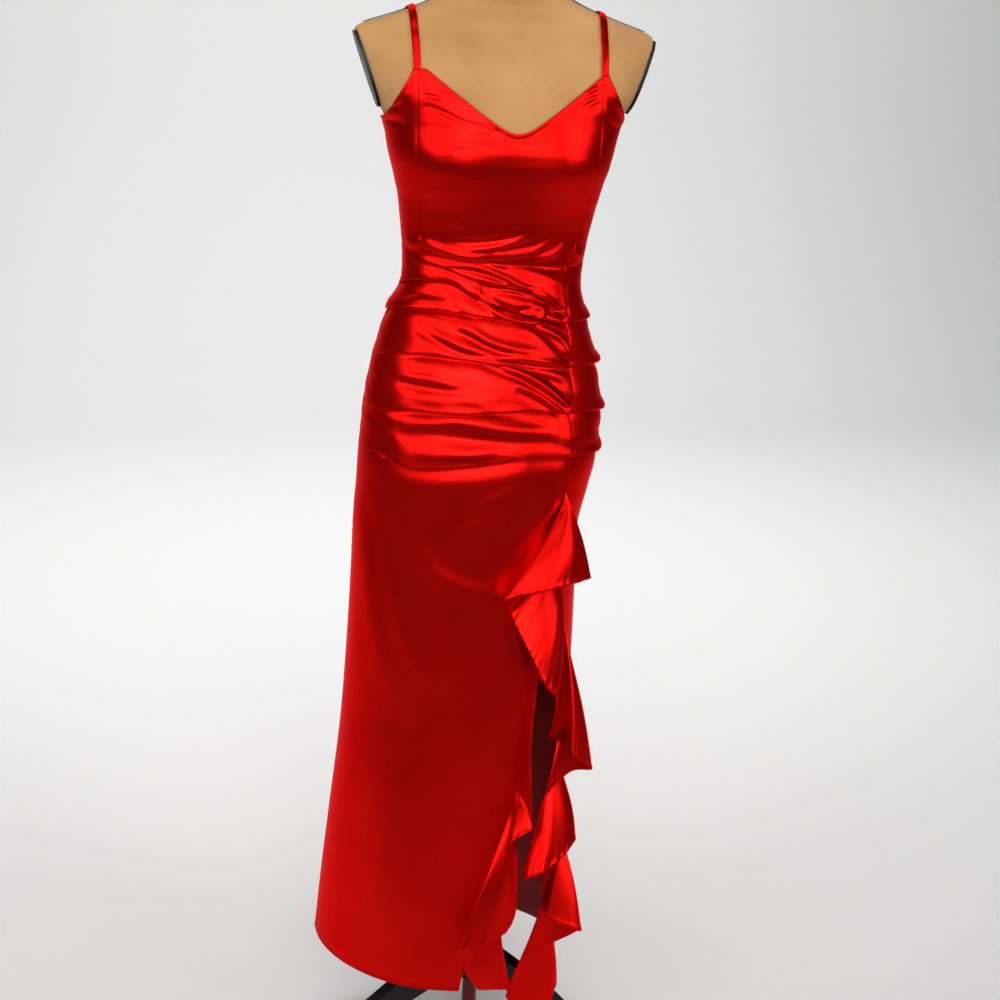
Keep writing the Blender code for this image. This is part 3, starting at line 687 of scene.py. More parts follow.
def shell_faces(rows, columns, first):
    """Faces of both skins and the edge. The edge's own points follow theirs, one for each in first."""
    skin = rows * columns
    index = np.arange(skin).reshape(rows, columns)
    a, b, c, d = index[:-1, :-1], index[:-1, 1:], index[1:, 1:], index[1:, :-1]
    outer = np.stack([a, b, c, d], axis=-1).reshape(-1, 4)
    inner = np.stack([a, d, c, b], axis=-1).reshape(-1, 4) + skin
    second = np.roll(first, -1)
    ring = 2 * skin + np.arange(len(first))
    ring_next = np.roll(ring, -1)
    upper = np.stack([first, ring, ring_next, second], axis=-1)
    lower = np.stack([first + skin, second + skin, ring_next, ring], axis=-1)
    return outer, inner, upper, lower


def shell_mesh(name, points, thick):
    """A closed mesh from a grid of points, with one thickness or one for each point."""
    rows, columns = points.shape[:2]
    half = np.broadcast_to(np.asarray(thick, float), (rows, columns))[..., None] / 2
    normals = grid_normals(points)
    i, j = np.array(rim_of(rows, columns)).T
    inward_i, inward_j = np.clip(i, 1, rows - 2), np.clip(j, 1, columns - 2)
    outward = unit(points[i, j] - points[inward_i, inward_j])
    edge = points[i, j] + outward * half[i, j] * EDGE_BULGE
    outer_skin = (points + normals * half).reshape(-1, 3)
    inner_skin = (points - normals * half).reshape(-1, 3)
    corners = np.concatenate([outer_skin, inner_skin, edge]) + AXIS
    outer, inner, upper, lower = shell_faces(rows, columns, i * columns + j)
    faces = np.concatenate([outer, inner, upper, lower])
    mesh = bpy.data.meshes.new(name)
    mesh.from_pydata(corners.tolist(), [], faces.tolist())
    sides = np.zeros(len(faces), int)
    sides[len(outer) : len(outer) + len(inner)] = 1
    mesh.attributes.new("reverse_side", "INT", "FACE").data.foreach_set("value", sides)
    return mesh


# %% Hems and seams
SATIN = 0.7 * MM
HEM_THICK = 1.9 * MM
HEM_WIDE = 3 * MM
HEM_REACH = 1.6  # the turning fades out this many hem widths from the edge
SEAM_DEEP = 0.3 * MM
SEAM_WIDE = 1.6 * MM


def edge_distance(points, side):
    """How far each grid point is from one edge of the grid, measured along the cloth."""
    axis = 0 if side in ("low", "high") else 1
    steps = np.linalg.norm(np.diff(points, axis=axis), axis=-1)
    zero = np.zeros_like(steps[:1] if axis == 0 else steps[:, :1])
    far = np.cumsum(np.concatenate([zero, steps], axis=axis), axis=axis)
    if side in ("high", "right"):
        last = far[-1:] if axis == 0 else far[:, -1:]
        far = last - far
    return far


def hemmed(points, sides):
    """The cloth's thickness at each point, with a rolled hem at the named edges."""
    made = np.full(points.shape[:2], SATIN)
    for side in sides:
        roll = np.clip(HEM_REACH - edge_distance(points, side) / HEM_WIDE, 0, 1)
        made = np.maximum(made, mix(SATIN, HEM_THICK, roll**0.5 * (roll > 0)))
    return made


def sewn_in(points, sides):
    """Cloth dips towards the body where it is sewn to its neighbour."""
    normals = grid_normals(points)
    for side in sides:
        dip = np.exp(-((edge_distance(points, side) / SEAM_WIDE) ** 2))
        points = points - normals * (dip * SEAM_DEEP)[..., None]
    return points


# %% [markdown]
# ## Creases
# Pulled satin folds into short creases. A cloth simulation would give folds of its own, in other places, so
# here each crease is drawn: a line of a few points, each an x and a height, with a width and a depth, all in
# millimetres. Above zero it is a ridge and below zero a trough. Its section is a soft bell, and it fades at
# both ends.

# %% Creases
Crease = namedtuple("Crease", "points wide deep")
CREASE_STEPS = 12  # straight pieces between two points of a crease
CREASE_FADE = 0.6
SIDE_Y = 20 * MM  # the dress's front ends at its sides, a little behind the pole's axis


def smooth_line(line, count):
    places = np.arange(len(line))
    at = np.linspace(0, len(line) - 1, count + 1)
    return np.stack([Curve(places, line[:, k])(at) for k in range(2)], axis=-1)


def nearest_on(line, flat):
    """How far each point is from a line, and which share of the line is nearest to it."""
    segments = len(line) - 1
    best = np.full(flat.shape[:2], np.inf)
    place = np.zeros(flat.shape[:2])
    for k in range(segments):
        start, way = line[k], line[k + 1] - line[k]
        share = np.clip(((flat - start) @ way) / max(way @ way, 1e-12), 0, 1)
        off = np.linalg.norm(flat - start - share[..., None] * way, axis=-1)
        nearer = off < best
        best = np.where(nearer, off, best)
        place = np.where(nearer, (k + share) / segments, place)
    return best, place


def crease_relief(creases, points, behind=False):
    """How far the creases lift the cloth at each point of a grid, on its front or on its back."""
    lift = np.zeros(points.shape[:2])
    for crease in creases:
        line = np.array(crease.points, float) * MM
        smooth = smooth_line(line, CREASE_STEPS * (len(line) - 1))
        off, place = nearest_on(smooth, points[..., [0, 2]])
        fade = np.sin(math.pi * np.clip(place, 0, 1)) ** CREASE_FADE
        lift += crease.deep * MM * fade * np.exp(-((off / (crease.wide * MM)) ** 2))
    in_front = points[..., 1] < SIDE_Y
    return np.where(in_front != behind, lift, 0)


# %% [markdown]
# ## Panels
# A panel is cut between two seams, from its lower edge to its upper one. Its rows are drawn first: each has
# a height and a lift, both functions of the angle round the body. A row's ends have to lie on the seams,
# whose angles depend on the height, so every row is found in a few rounds.

# %% Panels
ROW_ROUNDS = 10


def panel(left, right, rows, columns):
    """Points and normals of a patch between two seams."""
    share = np.linspace(0, 1, columns + 1)
    middle = np.array(0.5 * (left(WAIST_Z) + right(WAIST_Z)))
    points, normals = [], []
    for height, lift in rows:
        z = np.full(columns + 1, float(height(middle)))
        for _ in range(ROW_ROUNDS):
            angle = mix(left(z), right(z), share)
            z = height(angle)
        normal = dress.normal(angle, z)
        normals.append(normal)
        points.append(dress.point(angle, z) + normal * np.broadcast_to(lift(angle), z.shape)[..., None])
    return np.array(points), np.array(normals)


def no_lift(angle):
    return 0.0 * angle


def level_rows(low, high, count):
    """Rows evenly spaced between two edges."""

    def row(share):
        return (lambda angle: mix(low(angle), high(angle), share)), no_lift

    return [row(share) for share in np.linspace(0, 1, count + 1)]


# %% [markdown]
# Every piece of cloth also says which flat piece it was cut from: its widest row, its longest column and its
# area. A ruffle is cut as a curved band, much narrower in places than at its widest, so a band of the mean
# width stands for it.

# %% Cut pieces
BAND_SHARE = 0.45  # a piece that fills less than this of its own rectangle is a band


def area_of(points):
    across = points[:-1, 1:] - points[:-1, :-1]
    along = points[1:, :-1] - points[:-1, :-1]
    return float(np.linalg.norm(np.cross(across, along), axis=-1).sum())


def declare_cut(points):
    rows = np.linalg.norm(np.diff(points, axis=1), axis=-1).sum(axis=1)
    columns = np.linalg.norm(np.diff(points, axis=0), axis=-1).sum(axis=0)
    area = area_of(points)
    wide, long = float(rows.max()), float(columns.max())
    if area < wide * long * BAND_SHARE:
        wide = max(float(rows.mean()), area / long)
    area = min(area, wide * long)
    print("   cut", round(wide, 3), "x", round(long, 3), "m,", round(area, 4), "square metres")


# %% Cloth
EDGES = {}  # each piece's grid of points, which the stitches follow later


def cloth(name, node, points, hems, sewn, dull_inside=True):
    """The finished piece: dipped at its seams, thickened at its hems and closed."""
    EDGES[name] = points
    points = sewn_in(points, sewn)
    mesh = shell_mesh(name, points, hemmed(points, hems))
    made = finish(name, mesh, satin, node)
    if dull_inside:
        mesh.materials.append(reverse)
        sides = np.zeros(len(mesh.polygons), int)
        mesh.attributes["reverse_side"].data.foreach_get("value", sides)
        mesh.polygons.foreach_set("material_index", sides)
    declare_cut(points)


# %% [markdown]
# Stretched satin is never quite flat. A slow random relief, long in one direction and short in the other,
# breaks a broad highlight into the streaks that pulled cloth has.


# %% Streaks
Streak = namedtuple("Streak", "wide high deep")
STREAKS = (Streak(70 * MM, 13 * MM, 1.1 * MM), Streak(40 * MM, 5 * MM, 0.25 * MM))
LATTICE = 64
LATTICE_START = (500.3, 500.7)  # keeps the whole dress on the positive side of the lattice
BODY_RADIUS = 0.13


def relief_noise(across, up, wide, high, seed):
    """Smooth random values between -1 and 1 over cells of this width and height."""
    lattice = np.random.default_rng(seed).uniform(-1, 1, (LATTICE, LATTICE))
    u, v = across / wide + LATTICE_START[0], up / high + LATTICE_START[1]
    i, j = np.floor(u).astype(int), np.floor(v).astype(int)
    s, t = u - i, v - j
    s, t = s * s * (3 - 2 * s), t * t * (3 - 2 * t)
    i, j = i % LATTICE, j % LATTICE
    i_next, j_next = (i + 1) % LATTICE, (j + 1) % LATTICE
    near = mix(lattice[i, j], lattice[i_next, j], s)
    far = mix(lattice[i, j_next], lattice[i_next, j_next], s)
    return mix(near, far, t)


def streaks(points, seed, tilt=0.0):
    """Long pulls across the cloth, in two sizes."""
    across = np.arctan2(points[..., 0], -points[..., 1]) * BODY_RADIUS
    up = points[..., 2] + tilt * across
    relief = 0.0
    for i, streak in enumerate(STREAKS):
        relief = relief + streak.deep * relief_noise(across, up, streak.wide, streak.high, seed + i)
    return relief


# %% [markdown]
# ## The back
# The satin is pulled across the back as it is in front, with fewer and softer creases, and the skirt hangs
# there in long folds. One table serves the bodice's back and the skirt's.

# %% Creases of the back
BACK_CREASES = [
    # the bodice, pulled across from the side seams
    Crease([(-105, 1300), (-70, 1285), (-30, 1283)], 5.0, 2.4),
    Crease([(100, 1310), (66, 1290), (20, 1280)], 5.0, -2.0),
    Crease([(-98, 1262), (-50, 1250), (0, 1253), (50, 1246)], 6.0, 2.4),
    Crease([(98, 1240), (50, 1235), (-20, 1241)], 5.0, -2.4),
    Crease([(-90, 1226), (-30, 1222), (40, 1226), (92, 1222)], 5.0, 1.8),
    # between the tucks over the hips
    Crease([(-120, 1180), (-60, 1172), (0, 1176), (60, 1166)], 4.5, 2.8),
    Crease([(120, 1176), (60, 1164), (10, 1158)], 4.5, -2.8),
    Crease([(-130, 1128), (-70, 1114), (-10, 1110), (60, 1118)], 5.0, 3.2),
    Crease([(-120, 1116), (-60, 1102), (0, 1098)], 4.5, -3.2),
    Crease([(130, 1110), (80, 1100), (20, 1086)], 5.0, 2.8),
    Crease([(-135, 1070), (-80, 1062), (-20, 1066)], 5.5, 2.8),
    Crease([(135, 1062), (70, 1050), (0, 1048), (-60, 1054)], 6.0, -3.2),
    Crease([(-130, 1010), (-60, 1004), (10, 1008), (80, 998)], 8.0, 3.8),
    Crease([(130, 984), (70, 978), (0, 976), (-70, 982)], 7.0, -2.8),
    Crease([(-110, 962), (-40, 958), (30, 964)], 6.0, 2.2),
    # long soft folds down the skirt
    Crease([(-110, 880), (-120, 700), (-126, 500), (-130, 240)], 16.0, 4.5),
    Crease([(-80, 760), (-84, 600), (-86, 460)], 10.0, -2.6),
    Crease([(-50, 900), (-60, 700), (-52, 480), (-58, 200)], 18.0, 5.0),
    Crease([(30, 880), (24, 680), (34, 460), (30, 190)], 18.0, -3.6),
    Crease([(90, 900), (100, 700), (104, 480), (110, 230)], 16.0, 4.5),
]


# %% [markdown]
# ## Bodice
# Four panels and no darts: a centre front between two princess seams, two side fronts and a plain back.
# The satin is pulled tight over the bust, so short creases run out from the straps and the armholes. The
# panels stay four pieces, as they are cut, because their seams show as fine lines with a dip on each side.

# %% Bodice creases
BODICE_CREASES = [
    Crease([(-158, 1404), (-146, 1409), (-130, 1412)], 3.6, -2.2),
    Crease([(-160, 1388), (-148, 1388), (-132, 1384)], 3.6, -2.2),
    Crease([(-158, 1396), (-146, 1399), (-134, 1399)], 3.0, 1.2),
    Crease([(-118, 1424), (-106, 1423), (-92, 1421)], 3.0, -1.4),
    Crease([(-114, 1412), (-90, 1404), (-66, 1394), (-30, 1386)], 4.0, -1.4),
    Crease([(-60, 1384), (-36, 1382), (-16, 1382)], 3.5, -1.0),
    Crease([(-100, 1366), (-60, 1366), (-20, 1362)], 5.0, -1.0),
    Crease([(117, 1440), (104, 1437), (92, 1431)], 3.0, -1.4),
    Crease([(117, 1431), (103, 1426), (88, 1419)], 3.0, -1.4),
    Crease([(117, 1421), (108, 1417), (96, 1412)], 3.0, -1.2),
    Crease([(124, 1424), (136, 1412), (150, 1398)], 5.0, -2.0),
    Crease([(126, 1396), (138, 1390), (152, 1384)], 4.0, -1.4),
    # pulls that fan up from the waist
    Crease([(-110, 1236), (-87, 1228), (-48, 1220), (0, 1226)], 6.0, 3.6),
    Crease([(-60, 1228), (-10, 1236), (30, 1250)], 5.0, 3.0),
    Crease([(-20, 1222), (30, 1228), (66, 1248)], 5.0, 2.6),
    Crease([(30, 1218), (60, 1224), (80, 1240)], 5.0, 2.6),
    Crease([(-80, 1242), (-40, 1240), (10, 1246)], 6.0, -2.0),
    Crease([(-110, 1240), (-118, 1232), (-126, 1230)], 7.0, 2.4),
    Crease([(86, 1236), (100, 1222), (112, 1216)], 6.0, 2.0),
]


# %% Bodice
BODICE_STREAK_SEED = 21
BODICE_STREAK_SHARE = 0.4  # the bodice fits closely, so it has less of the streaks than the skirt


def bodice():
    front = level_rows(waist, neckline, 110)
    side = level_rows(waist, armhole, 100)
    back = level_rows(waist, back_top, 50)
    left_side, right_side, round_the_back = at_angle(-QUARTER), at_angle(QUARTER), at_angle(3 * QUARTER)
    for name, node, left, right, rows, columns in (
        ("bodice_centre_front", "bodice_front", princess_left, princess_right, front, 110),
        ("bodice_side_front_left_cloth", "bodice_side_front_left", left_side, princess_left, side, 30),
        ("bodice_side_front_right_cloth", "bodice_side_front_right", princess_right, right_side, side, 30),
        ("bodice_back_cloth", "bodice_back", right_side, round_the_back, back, 90),
    ):
        points, _ = panel(left, right, rows, columns)
        relief = crease_relief(BODICE_CREASES, points)
        relief += BODICE_STREAK_SHARE * streaks(points, BODICE_STREAK_SEED)
        relief += crease_relief(BACK_CREASES, points, behind=True)
        points = points + grid_normals(points) * relief[..., None]
        cloth(name, node, points, ("high",), ("left", "right", "low"))


bodice()

# %% [markdown]
# ## Skirt
# The front is gathered into the hip seam in six lapped tucks. Painted or bumped lines would not throw a
# shadow, so each tuck is a real fold with cloth behind its lip: the same short profile of rows, up behind
# the lip, over its rounded edge and down on to the body, that follows the tuck's own line round the hip.
# The next table gives the height of each tuck at six angles, and the one after it how far the tuck stands
# out there, in millimetres.

# %% Tucks
TUCK_ANGLES = (-90, -62, -35, -10, 12, 36)
TuckLine = namedtuple("TuckLine", "side hip left front right seam")
FRONT_TUCKS = [
    TuckLine(0.943, 0.951, 0.938, 0.946, 0.957, 0.955),
    TuckLine(1.004, 1.011, 1.017, 1.018, 1.021, 1.014),
    TuckLine(1.078, 1.087, 1.092, 1.087, 1.073, 1.026),
    TuckLine(1.138, 1.149, 1.151, 1.145, 1.133, 1.084),
    TuckLine(1.172, 1.186, 1.188, 1.166, 1.147, 1.134),
    TuckLine(1.213, 1.210, 1.204, 1.189, 1.178, 1.153),
]
FRONT_SWELLS = [
    TuckLine(0.0, 0.3, 9.0, 11.0, 9.0, 8.0),
    TuckLine(0.0, 2.0, 8.0, 8.0, 7.0, 5.0),
    TuckLine(0.0, 1.0, 8.0, 9.0, 8.0, 6.0),
    TuckLine(4.0, 6.0, 6.0, 6.0, 6.0, 5.0),
    TuckLine(2.0, 4.0, 4.0, 7.0, 8.0, 5.0),
    TuckLine(0.0, 2.0, 3.0, 5.0, 5.0, 4.0),
]
# Beyond the hip seam: a tuck's height at the seam and at the side, and how far it stands out.
SideTuck = namedtuple("SideTuck", "seam side swell")
SIDE_TUCKS = [
    SideTuck(0.955, 0.949, 6.0),
    SideTuck(1.016, 1.006, 6.0),
    SideTuck(1.077, 1.072, 6.0),
    SideTuck(1.134, 1.135, 5.0),
]
# The lip, from behind it round its edge: height from the tuck's line, and share of the swell.
Lip = namedtuple("Lip", "rise out")
LIP = [
    Lip(4.0 * MM, 0.00),
    Lip(4.4 * MM, 0.14),
    Lip(3.8 * MM, 0.30),
    Lip(1.6 * MM, 0.52),
    Lip(-0.8 * MM, 0.70),
    Lip(-2.2 * MM, 0.80),
    Lip(-2.8 * MM, 0.89),
    Lip(-2.6 * MM, 0.97),
    Lip(-1.6 * MM, 1.03),
    Lip(0.2 * MM, 1.05),
    Lip(2.4 * MM, 1.03),
]

# %% [markdown]
# The cloth that comes up from below goes in behind the next tuck's lip, and sinks there a little, so that
# the lip's shadow has a hollow to fall into. Where a tuck hardly stands out its profile is ironed flat.


# %% Rows of the skirt
Tuck = namedtuple("Tuck", "line swell")  # its height and how far it stands out, as functions of the angle
BEHIND_LIP = 3 * MM  # the cloth from below ends this far under the first row of the lip
SHARP_SWELL = 4 * MM  # a tuck that stands out less than this has a softer lip
FLAT_PITCH = 0.5 * MM  # how far apart a lip's rows are where the tuck fades out
SWELL_SHARES = np.linspace(0.08, 1.0, 15)  # rows above the lip, as shares of the way to the next tuck
PLAIN_POWER = 0.85  # brings the plain skirt's rows closer together towards the hips
PLAIN_HOLLOW = 0.02  # how far below the lowest tuck the cloth sinks, as a share of the plain skirt
HOLLOW_SHARE = 0.5  # how deep the cloth sinks under a tuck, against how far the tuck stands out
HOLLOW_REACH = 0.11  # how far below the tuck that starts, as a share of the way between two tucks
HOLLOW_AT_LIP = 0.35
HOLLOW_SLOPE = 1.9
NUB_REACH = 0.12  # beyond the hip seam a tuck is a short ridge, this share of the way high
NUB_START = math.radians(40)
NUB_BLEND = math.radians(30)


def foot(tuck):
    """The height, as a function of the angle, at which the cloth from below ends behind a tuck."""
    return lambda a: tuck.line(a) + LIP[0].rise - BEHIND_LIP


def plain_row(share, tuck):
    """A row of the plain skirt, this share of the way from the hem to the lowest tuck."""
    depth = HOLLOW_SHARE * math.exp(-(((1 - share) / PLAIN_HOLLOW) ** 2))

    def height(a):
        return mix(hem(a), foot(tuck)(a), share)

    def sink(a):
        return -depth * tuck.swell(a)

    return height, sink


def lip_row(k, tuck):
    """One row of a tuck's lip."""
    flat_rise = (k - len(LIP) / 2) * FLAT_PITCH

    def height(a):
        sharp = np.clip(tuck.swell(a) / SHARP_SWELL, 0, 1)
        return tuck.line(a) + mix(flat_rise, LIP[k].rise, sharp)

    def stand(a):
        return tuck.swell(a) * mix(-HOLLOW_AT_LIP * HOLLOW_SHARE, 1, LIP[k].out)

    return height, stand


def swell_row(share, tuck, above, next_swell):
    """A row this share of the way from a tuck's lip to the edge or the tuck above it."""
    long_slope = 0.5 * (1 + math.cos(math.pi * share))
    short_slope = math.exp(-((share / NUB_REACH) ** 2))
    below = (1 - share) / HOLLOW_REACH
    depth = HOLLOW_SHARE * (HOLLOW_AT_LIP + HOLLOW_SLOPE * below) * math.exp(-(below**2))

    def height(a):
        return mix(tuck.line(a) + LIP[-1].rise, above(a), share)

    def lift(a):
        beside = np.clip((a - NUB_START) / NUB_BLEND, 0, 1)
        return tuck.swell(a) * mix(long_slope, short_slope, beside) - depth * next_swell(a)

    return height, lift


def tuck_rows(tucks, plain):
    """Rows from hem to waist over a list of tucks, the lowest one first."""
    rows = [plain_row(share, tucks[0]) for share in np.linspace(0, 1, plain + 1) ** PLAIN_POWER]
    for i, tuck in enumerate(tucks):
        last = i + 1 == len(tucks)
        above = waist if last else foot(tucks[i + 1])
        next_swell = no_lift if last else tucks[i + 1].swell
        rows += [lip_row(k, tuck) for k in range(len(LIP))]
        rows += [swell_row(share, tuck, above, next_swell) for share in SWELL_SHARES]
    return rows


# %% The tucks of each panel
def in_mm(values):
    return [value * MM for value in values]


def front_tucks():
    return [
        Tuck(angle_curve(line, TUCK_ANGLES), angle_curve(in_mm(swell), TUCK_ANGLES))
        for line, swell in zip(FRONT_TUCKS, FRONT_SWELLS)
    ]


def side_tucks():
    """Beyond the hip seam a tuck is a nub that is highest near the side."""
    made = []
    for tuck in SIDE_TUCKS:
        line = angle_curve([tuck.seam, tuck.side], (36, 90))
        swell = angle_curve([tuck.swell * MM * s for s in (0.5, 0.7, 1.0, 0.8)], (30, 50, 78, 90))
        made.append(Tuck(line, swell))
    return made


def back_tucks():
    """The side's tucks run on round the back and fade out there."""
    made = []
    for tuck in SIDE_TUCKS:
        line = angle_curve([tuck.side, tuck.side + 3 * MM, tuck.side + 8 * MM], (90, 140, 270))
        swell = angle_curve([tuck.swell * MM * s for s in (0.8, 0.5, 0.0, 0.0)], (90, 140, 220, 270))
        made.append(Tuck(line, swell))
    return made


# %% Skirt creases
SKIRT_CREASES = [
    # the folds that wrap the waist
    Crease([(-71, 1212), (-35, 1207), (5, 1192), (47, 1168), (80, 1146)], 3.0, 2.4),
    Crease([(-78, 1205), (-40, 1200), (4, 1186), (40, 1168), (74, 1146)], 3.0, -2.4),
    Crease([(-50, 1195), (-8, 1188), (32, 1182), (70, 1160)], 3.0, 2.2),
    Crease([(-37, 1181), (6, 1178), (47, 1168), (72, 1157)], 3.2, 2.8),
    # the loop of cloth under them, and the pocket at its end
    Crease([(-39, 1183), (-30, 1164), (-11, 1149), (13, 1139), (36, 1136)], 3.4, 4.0),
    Crease([(-27, 1174), (-8, 1160), (16, 1152), (36, 1154)], 4.0, -3.4),
    Crease([(30, 1135), (44, 1139), (50, 1151), (40, 1160)], 3.0, 3.6),
    Crease([(52, 1158), (66, 1151), (86, 1144)], 5.0, -8.0),
    Crease([(-86, 1176), (-70, 1157), (-52, 1143), (-34, 1136)], 4.0, -1.0),
    Crease([(-141, 1158), (-110, 1168), (-80, 1166)], 4.0, -2.2),
    # between the third and fourth tucks
    Crease([(47, 1132), (81, 1109), (92, 1090)], 3.6, 3.0),
    Crease([(-112, 1132), (-80, 1116), (-46, 1102), (-10, 1092)], 5.0, 2.6),
    Crease([(-118, 1122), (-85, 1106), (-46, 1092), (-20, 1090)], 4.0, -3.2),
    Crease([(-66, 1134), (-46, 1126), (-22, 1112), (10, 1102), (50, 1096)], 5.5, 3.4),
    Crease([(-66, 1124), (-46, 1115), (-20, 1103), (14, 1094)], 4.0, -3.6),
    Crease([(-20, 1092), (21, 1089), (55, 1084), (93, 1076)], 3.0, 4.0),
    Crease([(-16, 1085), (21, 1082), (55, 1077), (93, 1069)], 3.4, -4.4),
    # the pair of ridges that fan down to the hip seam
    Crease([(-62, 1094), (-20, 1084), (18, 1072), (56, 1050), (93, 1022)], 3.4, 3.6),
    Crease([(-30, 1076), (14, 1064), (52, 1044), (90, 1016)], 3.4, -3.6),
    Crease([(12, 1058), (48, 1038), (90, 1008)], 3.6, 3.0),
    Crease([(16, 1048), (50, 1030), (84, 1006)], 3.6, -2.4),
    Crease([(26, 1080), (52, 1066), (86, 1048)], 5.0, -2.0),
    # soft bands on the next tuck, and the long dark lens of the lowest one
    Crease([(-146, 1078), (-98, 1076), (-46, 1062)], 6.0, 2.0),
    Crease([(-146, 1060), (-108, 1060), (-60, 1052)], 6.0, 3.0),
    Crease([(-140, 1050), (-95, 1047), (-45, 1043)], 5.0, -2.4),
    Crease([(-120, 1036), (-60, 1034), (0, 1036)], 7.0, 1.6),
    Crease([(-136, 1000), (-100, 1001), (-60, 1006), (-10, 998), (30, 992), (78, 987)], 10.0, 4.6),
    Crease([(-140, 980), (-84, 980), (-31, 978), (30, 976), (70, 980)], 9.0, -3.0),
    Crease([(-20, 1010), (20, 1006), (60, 1000)], 6.0, -2.4),
    Crease([(-120, 962), (-70, 960), (-10, 966)], 6.0, 2.2),
    # the lower skirt: fine pulls that meet in a star, a broad wedge and long soft folds
    Crease([(-140, 886), (-114, 872), (-97, 860), (-76, 850)], 2.6, 1.3),
    Crease([(-144, 884), (-120, 856), (-101, 850), (-80, 840)], 2.6, 1.2),
    Crease([(-132, 872), (-112, 862), (-92, 852)], 3.2, -0.9),
    Crease([(-92, 845), (-60, 847), (-34, 861), (-4, 866)], 3.0, 1.4),
    Crease([(-70, 849), (-52, 845), (-26, 840)], 2.8, 1.2),
    Crease([(-80, 838), (-50, 836), (-20, 848)], 4.0, -1.2),
    Crease([(-128, 850), (-100, 812), (-79, 785), (-46, 770), (12, 757)], 14.0, 2.1),
    Crease([(-110, 868), (-80, 812), (-40, 790), (0, 785)], 16.0, -1.2),
    Crease([(-172, 905), (-159, 855), (-148, 801), (-138, 739), (-114, 663), (-83, 633)], 11.0, 1.5),
    Crease([(-186, 880), (-176, 800), (-165, 700), (-150, 610)], 12.0, 2.4),
    Crease([(-40, 884), (-2, 900), (34, 912)], 5.0, 1.4),
    Crease([(84, 945), (77, 893), (57, 837), (30, 783)], 12.0, 1.8),
    Crease([(-60, 720), (-40, 560), (-50, 360)], 30.0, 3.0),
    Crease([(-140, 560), (-150, 400), (-160, 240)], 26.0, 3.0),
]


# %% Skirt
WAVE_DEPTH = 3.0 * MM
WAVE_TOP = 0.86
WAVE_GROWTH = 0.6  # the height over which the waves grow to their full depth
SKIRT_STREAK_SEED = 7
SKIRT_STREAK_TILT = 0.25
HIPS_LOW = 0.93  # the streaks fade out below this height
HIPS_BLEND = 0.03
BEHIND_START = 0.9  # the waves grow deeper beyond this angle
BEHIND_BLEND = 0.6
BEHIND_MORE = 0.5


def drape(points):
    """Slow waves that hang in the loose skirt, from nothing at the hips to full at the hem."""
    angle = np.arctan2(points[..., 0], -points[..., 1])
    low = np.clip((WAVE_TOP - points[..., 2]) / WAVE_GROWTH, 0, 1)
    three = np.sin(3.0 * angle + 0.8)
    five_smaller = 0.6 * np.sin(5.0 * angle - 1.1 + 2.0 * points[..., 2])
    behind = np.clip((np.abs(angle) - BEHIND_START) / BEHIND_BLEND, 0, 1)
    return WAVE_DEPTH * (1 + BEHIND_MORE * behind) * low * (three + five_smaller)


def skirt():
    left_side, right_side, round_the_back = at_angle(-QUARTER), at_angle(QUARTER), at_angle(3 * QUARTER)
    for name, node, left, right, tucks, plain, columns in (
        ("skirt_front_cloth", "skirt_front", left_side, front_edge, front_tucks(), 100, 130),
        ("skirt_side_cloth", "skirt_side", side_edge, right_side, side_tucks(), 110, 40),
        ("skirt_back_cloth", "skirt_back", right_side, round_the_back, back_tucks(), 90, 100),
    ):
        points, normals = panel(left, right, tuck_rows(tucks, plain), columns)
        hips = np.clip((points[..., 2] - HIPS_LOW) / HIPS_BLEND, 0, 1)
        relief = crease_relief(SKIRT_CREASES, points) + drape(points)
        relief += hips * streaks(points, SKIRT_STREAK_SEED, SKIRT_STREAK_TILT)
        relief += crease_relief(BACK_CREASES, points, behind=True)
        points = points + normals * relief[..., None]
        cloth(name, node, points, ("low",), ("left", "right", "high"))


skirt()

# %% [markdown]
# ## Ruffles
# A ruffle is a strip cut on a curve: short where it is sewn to the slit and long at its free edge, so the
# free edge swings out and back. A simulated ruffle would fall in folds of its own, so here each fold is put
# where it hangs: a row of the table is one straight line of the cloth, from a height on the seam to a place
# of the free edge, and the surface runs smoothly from line to line.

